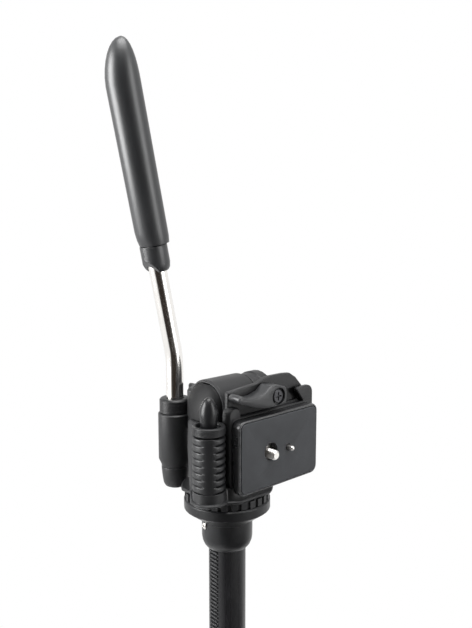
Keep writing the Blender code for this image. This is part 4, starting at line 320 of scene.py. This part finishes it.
def add_studio():
    add_world()
    for name, (place, size, watts) in SOFTBOXES.items():
        add_softbox(name, place, size, watts)
    add_flat("floor", (FLOOR_SIZE, FLOOR_SIZE), (0, 0, -FLOOR_DROP), floor_paper())
    add_dark_card("dark_end", view_point(*END_PLACE), PAN + END_AIM, END_SIZE, END_COLOUR)
    ground = view_point(CARD_RIGHT, 0, GROUND_TOWARD)
    ground.z = GROUND_HEIGHT
    above = ground + Vector((0, 0, 1))
    add_dark_card("dark_ground", ground, above, GROUND_SIZE, GROUND_COLOUR)


# Materials. Depths and edge radii are in metres.

RING_PITCH = 2.1 * MM
# How dark the turned lines are painted: painted shade in their grooves.
RING_GROOVE_SHADE = 0.4
# How much paler edges are painted: a painted highlight along them, with rubbed wear as well in moulded
# plastic.
PALE_EDGE = 2.6
GRIP_PORE_SHARE = 0.6


def moulded(name, colour, roughness, specular=0.34, grain=0.00003, edge=PALE_EDGE, bevel=0.0005):
    """Moulded plastic: a fine spark-eroded grain, a slow drift of tone and gloss, and paler edges that
    are partly rubbed wear and partly painted highlight.
    """
    paint = Paint(name)
    drift = paint.noise(scale=28.0, detail=4.0)
    fine = paint.noise(scale=1500.0, detail=4.0)
    soft = paint.bevel(bevel)
    patchy = paint.noise(scale=260.0, detail=5.0)
    patchy = paint.ranged(patchy, low=0.15, high=1.0, start=0.35, end=0.65)
    # Edges are painted paler in patches: partly rubbed wear, partly a painted highlight along them.
    rubbed_and_highlit = paint.maths("MULTIPLY", paint.edge_share(soft), patchy)
    tone = paint.toned(drift, colour, first=0.86, second=1.14)
    tone = paint.mixed(rubbed_and_highlit, tone, shade(colour, edge))
    gloss = paint.drifting(paint.noise(scale=90.0, detail=5.0), roughness, less=0.05, more=0.06)
    normal = paint.bump(fine, strength=0.55, distance=grain, normal=soft)
    return paint.finish(Base_Color=tone, Roughness=gloss, Normal=normal, Specular_IOR_Level=specular)


def soft_rubber(name, colour, roughness):
    """Rubber: dead matt, with a close pebble grain, faint dust and paler edges, which are a painted
    highlight.
    """
    paint = Paint(name)
    soft = paint.bevel(radius=0.0006)
    pebbles = paint.add("ShaderNodeTexVoronoi", {"Vector": paint.place, "Scale": 1900.0})
    dust = paint.noise(scale=70.0, detail=6.0)
    tone = paint.toned(dust, colour, first=0.94, second=1.22, start=0.42, end=0.75)
    # Painted highlight: the pad's edges are painted paler.
    tone = paint.mixed(paint.edge_share(soft), tone, shade(colour, PALE_EDGE))
    height = paint.maths("ADD", pebbles.outputs["Distance"], paint.noise(scale=600.0))
    normal = paint.bump(height, strength=0.5, distance=0.00004, normal=soft)
    gloss = paint.drifting(dust, roughness, less=0.04, more=0.06, start=0.0, end=1.0)
    return paint.finish(Base_Color=tone, Roughness=gloss, Normal=normal, Specular_IOR_Level=0.35)


def grip_skin(name, colour, roughness):
    """Soft-touch grip: a velvety skin with faint draw lines along its length."""
    paint = Paint(name)
    lines = paint.noise(scale=900.0, stretch=(1.0, 1.0, 0.06))
    drift = paint.noise(scale=22.0, detail=4.0)
    tone = paint.toned(drift, colour, first=0.90, second=1.10)
    pores = paint.maths("MULTIPLY", paint.noise(scale=2200.0), GRIP_PORE_SHARE)
    height = paint.maths("ADD", lines, pores)
    normal = paint.bump(height, strength=0.35, distance=0.00003, normal=paint.bevel(radius=0.0005))
    gloss = paint.drifting(drift, roughness, less=0.04, more=0.05)
    return paint.finish(Base_Color=tone, Roughness=gloss, Normal=normal, Specular_IOR_Level=0.62)


def metal(name, colour, roughness, scratch=0.3):
    """Plated or turned metal with fine lines and a few smudges."""
    paint = Paint(name)
    lines = paint.noise(scale=1.0, stretch=(60.0, 60.0, 1400.0))
    smudge = paint.noise(scale=45.0, detail=5.0)
    tone = paint.toned(smudge, colour, first=0.93, second=1.0, start=0.35)
    gloss = paint.drifting(smudge, roughness, less=0.0, more=0.06, start=0.4, end=0.75)
    normal = paint.bump(lines, strength=scratch, distance=0.00001, normal=paint.bevel(radius=0.0002))
    return paint.finish(Base_Color=tone, Roughness=gloss, Normal=normal, Metallic=1.0)


def tube_coat(name, colour, roughness):
    """Black anodised tube: drawn lines along it and small rub marks."""
    paint = Paint(name)
    lines = paint.noise(scale=1.0, detail=4.0, stretch=(900.0, 900.0, 14.0))
    rub = paint.noise(scale=150.0, detail=6.0, stretch=(1.0, 1.0, 0.5))
    tone = paint.toned(rub, colour, first=1.0, second=1.7, start=0.58, end=0.80)
    gloss = paint.drifting(lines, roughness, less=0.05, more=0.07)
    normal = paint.bump(lines, strength=0.25, distance=0.00002, normal=paint.bevel(radius=0.0003))
    return paint.finish(Base_Color=tone, Roughness=gloss, Normal=normal, Specular_IOR_Level=0.36)


def ringed_plastic(name, colour, roughness):
    """Moulded plastic with fine turned lines round an upright axis, each line painted darker as
    painted shade in its groove.
    """
    paint = Paint(name)
    height = paint.add("ShaderNodeSeparateXYZ", {0: paint.place}).outputs["Z"]
    wave = paint.maths("SINE", paint.maths("MULTIPLY", height, 2 * math.pi / RING_PITCH))
    line = paint.ranged(wave, low=0.0, high=1.0, start=0.86, end=1.0)
    fine = paint.noise(scale=1500.0, detail=4.0)
    normal = paint.bump(fine, strength=0.5, distance=0.00003, normal=paint.bevel(radius=0.0005))
    raised = paint.maths("SUBTRACT", 1.0, line)
    normal = paint.bump(raised, strength=0.8, distance=0.00012, normal=normal)
    # Painted shade: the turned lines are painted darker where shade falls in the grooves.
    tone = paint.mixed(line, shade(colour, 1.0), shade(colour, RING_GROOVE_SHADE))
    gloss = paint.drifting(paint.noise(scale=90.0, detail=5.0), roughness, less=0.05, more=0.06)
    return paint.finish(Base_Color=tone, Roughness=gloss, Normal=normal, Specular_IOR_Level=0.3)


# Looks. The first are named as the record's slots, and the rest are for single pieces.

BODY_BLACK = (0.0095, 0.0097, 0.0105)
GRIP_BLACK = (0.0150, 0.0158, 0.0172)
PAD_GREY = (0.034, 0.0357, 0.039)
LEVER_BLACK = (0.020, 0.0206, 0.022)
TUBE_BLACK = (0.0085, 0.0085, 0.0095)
CHROME = (0.92, 0.90, 0.87)
STEEL = (0.80, 0.78, 0.75)
BLACK_STEEL = (0.060, 0.060, 0.064)
BULLET_BLACK = (0.0085, 0.0087, 0.0094)
RIB_BLACK = (0.0085, 0.0087, 0.0095)
PLATE_BLACK = (0.016, 0.0163, 0.0172)
NECK_BLACK = (0.0070, 0.0072, 0.0080)
# The tilt cover is a darker black than the body: painted shade, so that it reads as the shaded hollow
# of the arch behind the post.
COVER_PAINTED_SHADE = (0.0042, 0.0043, 0.0047)

OWN_LOOKS = {
    "camera_plate": "plate",
    "grip_sleeve": "grip_foam",
    "handle_collar": "ringed",
    "pan_cup": "neck",
    "plate_lever": "grey_black_plastic",
    "tilt_cover": "cover",
}

SMOOTH_ANGLE = math.radians(32)
WELD_DISTANCE = 0.000002
BROKEN_EDGE_ANGLE = math.radians(40)
BROKEN_EDGE_SEGMENTS = 3
BROKEN_EDGES = {"camera_plate": 1.0, "plate_pad": 0.35, "platform": 0.5, "plate_lever": 0.6}


def make_looks():
    return {
        "black_plastic": moulded("body_plastic", BODY_BLACK, 0.44),
        # The lever's edges are painted paler than the body's: a painted highlight along them.
        "grey_black_plastic": moulded("lever_plastic", LEVER_BLACK, 0.36, specular=0.42, edge=3.5),
        "rubber": soft_rubber("pad_rubber", PAD_GREY, 0.70),
        "grip_foam": grip_skin("grip_skin", GRIP_BLACK, 0.38),
        "chrome": metal("tube_chrome", CHROME, 0.14),
        "steel": metal("screw_steel", STEEL, 0.30, scratch=0.5),
        "black_tube": tube_coat("tube_black", TUBE_BLACK, 0.30),
        "black_steel": metal("screw_black", BLACK_STEEL, 0.34, scratch=0.4),
        "bullet": moulded("bullet_plastic", BULLET_BLACK, 0.28, specular=0.30, grain=0.00001),
        "ribs": moulded("rib_rubber", RIB_BLACK, 0.40, specular=0.36, grain=0.00004),
        # The plate's edges are painted nine times paler: painted highlight lines along its rims.
        "plate": moulded(
            "plate_plastic", PLATE_BLACK, 0.30, specular=0.60, grain=0.00002, edge=9.0, bevel=0.0008
        ),
        "neck": moulded("cup_plastic", NECK_BLACK, 0.33, specular=0.32),
        # Painted shade: the cover is darker than the body plastic and stands for the shade in the
        # arch's hollow.
        "cover": moulded("cover_painted_shade", COVER_PAINTED_SHADE, 0.52, specular=0.15),
        "ringed": ringed_plastic("collar_plastic", BODY_BLACK, 0.40),
    }


def smooth_over(obj):
    """Joins a node's facets into smooth surfaces, keeps its real edges and rounds a few of them."""
    obj.data.shade_smooth()
    weld = obj.modifiers.new("weld", "WELD")
    weld.merge_threshold = WELD_DISTANCE
    if obj.name in BROKEN_EDGES:
        rounded = obj.modifiers.new("broken_edges", "BEVEL")
        rounded.width = BROKEN_EDGES[obj.name] * MM
        rounded.segments = BROKEN_EDGE_SEGMENTS
        rounded.limit_method = "ANGLE"
        rounded.angle_limit = BROKEN_EDGE_ANGLE
    split = obj.modifiers.new("edges", "EDGE_SPLIT")
    split.split_angle = SMOOTH_ANGLE
    split.use_edge_sharp = False


def dress_nodes(looks):
    """Gives each CAD node the material of its slot, or a look of its own."""
    slots = {row["node"]: row["material_slot"] for row in frame["record"]["subparts"]}
    for name, obj in frame["nodes"].items():
        obj.data.materials.clear()
        obj.data.materials.append(looks[OWN_LOOKS.get(name, slots[name])])
        smooth_over(obj)


# Detail pieces. A ring gives (radius, place along the axis) in millimetres at an angle.

UPRIGHT = Matrix.Identity(3)
INTO_PLATE = Matrix(((1, 0, 0), (0, 0, 1), (0, 1, 0)))


def evens(*profile):
    """Rings that are the same all round, from pairs of radius and place."""
    return [lambda angle, spot=spot: spot for spot in profile]


def turned(name, rings, place, steps, sharp, turn=UPRIGHT, bored=False):
    """A turned piece whose rings may vary round the axis, with so many steps round it. Edges over
    the sharp angle in degrees stay sharp. A bored piece closes from its last ring to its first, and
    any other has flat ends."""
    solid = bmesh.new()
    loops = []
    for ring in rings:
        loop = []
        for step in range(steps):
            angle = 2 * math.pi * step / steps
            radius, along = ring(angle)
            spot = Vector((radius * math.cos(angle), radius * math.sin(angle), along)) * MM
            loop.append(solid.verts.new(place + turn @ spot))
        loops.append(loop)
    if bored:
        loops.append(loops[0])
    else:
        solid.faces.new(loops[0])
        solid.faces.new(loops[-1])
    for lower, upper in zip(loops, loops[1:]):
        for step in range(steps):
            after = (step + 1) % steps
            solid.faces.new((lower[step], lower[after], upper[after], upper[step]))
    bmesh.ops.recalc_face_normals(solid, faces=solid.faces)
    mesh = bpy.data.meshes.new(name)
    solid.to_mesh(mesh)
    solid.free()
    mesh.shade_smooth()
    mesh.set_sharp_from_angle(angle=math.radians(sharp))
    obj = bpy.data.objects.new(name, mesh)
    SCENE.collection.objects.link(obj)
    return obj


def hand_over(obj, body, material, node):
    """Finishes a piece: its material, the body it rides on and the node it stands for."""
    obj.data.materials.append(material)
    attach(obj, body)
    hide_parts(node)


def upright_seat(node):
    """The foot of a node's upright axis, and its height in millimetres."""
    low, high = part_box(node)
    foot = Vector(((low.x + high.x) / 2, (low.y + high.y) / 2, low.z))
    return foot, (high.z - low.z) / MM


def plate_seat(node):
    """The middle of a node's outer end in the plate, its length and its largest radius."""
    low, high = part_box(node)
    end = Vector(((low.x + high.x) / 2, low.y, (low.z + high.z) / 2))
    return end, (high.y - low.y) / MM, (high.x - low.x) / 2 / MM


# Camera screw

SCREW_CREST = 3.1
SCREW_ROOT = 2.35
SCREW_PITCH = 1.27
SCREW_THREADED = 7.0
SCREW_SLICES = 10
THREAD_STEEPNESS = 1.6
THREAD_ROOT_SHARE = 0.3
SCREW_TIP_INSET = 0.2
SCREW_RUN_OUT = 0.1
SCREW_HEAD_THICKNESS = 1.4
SCREW_CHAMFER = 0.4
SCREW_FILLET = 0.3
SCREW_DIMPLE = 1.0


def thread_ring(along, length):
    """One slice through the thread, which starts with a chamfer. It winds once for each pitch,
    counted from the back of the screw's head."""
    def ring(angle):
        phase = ((along - length) / SCREW_PITCH - angle / (2 * math.pi)) % 1.0
        ramp = THREAD_STEEPNESS * (1 - abs(2 * phase - 1)) - THREAD_ROOT_SHARE
        radius = SCREW_ROOT + (SCREW_CREST - SCREW_ROOT) * min(1.0, max(0.0, ramp))
        return min(radius, SCREW_ROOT - SCREW_TIP_INSET + along), along
    return ring


def camera_screw(looks):
    """The 1/4 inch screw with its real thread, from its tip back to its flat head."""
    tip, length, head = plate_seat("camera_screw")
    slices = int(SCREW_THREADED / SCREW_PITCH * SCREW_SLICES)
    under = length - SCREW_HEAD_THICKNESS
    rings = [thread_ring(SCREW_THREADED * index / slices, length) for index in range(slices + 1)]
    rings += evens(
        (SCREW_CREST, SCREW_THREADED + SCREW_RUN_OUT),
        (SCREW_CREST, under - SCREW_FILLET),
        (head - SCREW_CHAMFER, under),
        (head, under + SCREW_CHAMFER),
        (head, length - SCREW_FILLET),
        (head - SCREW_CHAMFER, length),
        (SCREW_DIMPLE, length),
    )
    obj = turned("camera_screw_thread", rings, tip, steps=40, sharp=30, turn=INTO_PLATE)
    hand_over(obj, "camera_screw", looks["steel"], "camera_screw")


# Video pin

PIN_RADIUS = 1.6
PIN_DOME_STEPS = 8
PIN_COLLAR_THICKNESS = 0.75
PIN_FILLET = 0.15
PIN_EDGE = 0.2
PIN_SEAT_EDGE = 0.1


def video_pin(looks):
    """The sprung pin with its domed end and the collar that holds it in the plate."""
    tip, length, collar = plate_seat("video_pin")
    front = length - PIN_COLLAR_THICKNESS
    rings = []
    for step in range(1, PIN_DOME_STEPS + 1):
        angle = math.pi / 2 * step / PIN_DOME_STEPS
        rings += evens((PIN_RADIUS * math.sin(angle), PIN_RADIUS * (1 - math.cos(angle))))
    rings += evens(
        (PIN_RADIUS, front - PIN_FILLET),
        (collar - PIN_EDGE, front),
        (collar, front + PIN_EDGE),
        (collar, length - PIN_SEAT_EDGE),
        (collar - PIN_EDGE, length),
    )
    obj = turned("video_pin_domed", rings, tip, steps=32, sharp=50, turn=INTO_PLATE)
    hand_over(obj, "video_pin", looks["steel"], "video_pin")


# Ribbed sleeve. Its sides are angles round its axis.

SLEEVE_RADIUS = 10.0
SLEEVE_BORE = 6.6
SLEEVE_END_INSET = 2.2
RIB_COUNT = 8
RIB_SLICES = 18
GROOVE_DEPTH = 1.2
NOTCH_EXTRA_DEPTH = 1.0
GROOVE_NARROWNESS = 9.0
NOTCH_WIDENING = 5.5
SMOOTH_SIDE = math.radians(230)
SMOOTH_EDGE = 0.965
SMOOTH_FADE = 0.09
NOTCHED_SIDE = math.radians(310)


def rib_ring(along, share):
    """A slice through a rib. The grooves between ribs are left out on the smooth outer side, and are
    wide, deep notches on the side toward the plate."""
    def ring(angle):
        facing = max(0.0, math.cos(angle - SMOOTH_SIDE))
        notched = max(0.0, math.cos(angle - NOTCHED_SIDE))
        away = min(1.0, max(0.0, (SMOOTH_EDGE - facing) / SMOOTH_FADE))
        depth = (GROOVE_DEPTH + NOTCH_EXTRA_DEPTH * notched) * away
        groove = abs(2 * share - 1) ** (GROOVE_NARROWNESS - NOTCH_WIDENING * notched)
        return SLEEVE_RADIUS - depth * groove, along
    return ring


def ribbed_sleeve(looks):
    """The twist sleeve's ribs, bored for the pointed post."""
    foot, length = upright_seat("ribbed_sleeve")
    pitch = length / RIB_COUNT
    inset = SLEEVE_RADIUS - SLEEVE_END_INSET
    rings = evens((SLEEVE_BORE, 0.0), (inset, 0.0))
    for rib in range(RIB_COUNT):
        last = rib == RIB_COUNT - 1
        for step in range(RIB_SLICES + last):
            share = step / RIB_SLICES
            rings.append(rib_ring(pitch * (rib + share), share))
    rings += evens((inset, length), (SLEEVE_BORE, length))
    obj = turned("ribbed_sleeve_moulded", rings, foot, steps=72, sharp=42, bored=True)
    hand_over(obj, "twist_sleeve", looks["ribs"], "ribbed_sleeve")


# Sleeve collar. A groove's points are shares of the grooves' spacing.

COLLAR_WALL = 2.0
COLLAR_GAP = 0.75
COLLAR_GAP_EDGE = 0.05
COLLAR_LOWER_INSET = 0.2
COLLAR_MARGIN = 1.0
COLLAR_GROOVES = 5
COLLAR_GROOVE_DEPTH = 0.5
COLLAR_LAND_END = 0.55
COLLAR_GROOVE_START = 0.70
COLLAR_GROOVE_END = 0.86
COLLAR_ROUNDING_DROP = 0.9
COLLAR_ROUNDING_WAIST = 0.25
COLLAR_ROUNDING = 0.8
COLLAR_MOUTH_EDGE = 0.3
COLLAR_MOUTH_DRAFT = 0.5
COLLAR_FLOOR = 3.0
COLLAR_FLOOR_FILLET = 0.2


def sleeve_collar(looks):
    """The plain ring over the ribs: a dark gap under it, fine grooves round it, a dished mouth."""
    foot, length = upright_seat("sleeve_collar")
    inner = SLEEVE_RADIUS - COLLAR_WALL
    rings = evens(
        (SLEEVE_BORE, 0.0),
        (inner, 0.0),
        (inner, COLLAR_GAP),
        (SLEEVE_RADIUS - COLLAR_LOWER_INSET, COLLAR_GAP + COLLAR_GAP_EDGE),
    )
    spacing = (length - 2 * COLLAR_MARGIN) / COLLAR_GROOVES
    for groove in range(COLLAR_GROOVES):
        start = COLLAR_MARGIN + spacing * groove
        rings += evens(
            (SLEEVE_RADIUS, start),
            (SLEEVE_RADIUS, start + spacing * COLLAR_LAND_END),
            (SLEEVE_RADIUS - COLLAR_GROOVE_DEPTH, start + spacing * COLLAR_GROOVE_START),
            (SLEEVE_RADIUS - COLLAR_GROOVE_DEPTH, start + spacing * COLLAR_GROOVE_END),
        )
    rings += evens(
        (SLEEVE_RADIUS, length - COLLAR_ROUNDING_DROP),
        (SLEEVE_RADIUS - COLLAR_ROUNDING_WAIST, length - COLLAR_MOUTH_EDGE),
        (SLEEVE_RADIUS - COLLAR_ROUNDING, length),
        (inner, length),
        (inner - COLLAR_MOUTH_EDGE, length - COLLAR_MOUTH_EDGE),
        (inner - COLLAR_MOUTH_DRAFT, COLLAR_FLOOR + COLLAR_FLOOR_FILLET),
        (SLEEVE_BORE, COLLAR_FLOOR),
    )
    obj = turned("sleeve_collar_grooved", rings, foot, steps=56, sharp=42, bored=True)
    hand_over(obj, "twist_sleeve", looks["black_plastic"], "sleeve_collar")


# Pointed post

BULLET_PROFILE = (
    (4.7, 0.0), (4.7, 31.6), (5.2, 36.0), (5.55, 39.5), (5.68, 42.0), (5.5, 43.8), (5.1, 45.5),
    (4.5, 47.1), (3.8, 48.5), (3.05, 49.7), (2.25, 50.6), (1.4, 51.2), (0.6, 51.5),
)


def bullet_post(looks):
    """The post in the sleeve, with a slight swell and a pointed nose."""
    foot, length = upright_seat("bullet_post")
    scale = length / BULLET_PROFILE[-1][1]
    rings = evens(*((radius, along * scale) for radius, along in BULLET_PROFILE))
    obj = turned("bullet_post_smooth", rings, foot, steps=40, sharp=60)
    hand_over(obj, "twist_sleeve", looks["bullet"], "bullet_post")


add_camera()
add_studio()
looks = make_looks()
dress_nodes(looks)
camera_screw(looks)
video_pin(looks)
ribbed_sleeve(looks)
sleeve_collar(looks)
bullet_post(looks)
SCENE.view_settings.view_transform = "Standard"
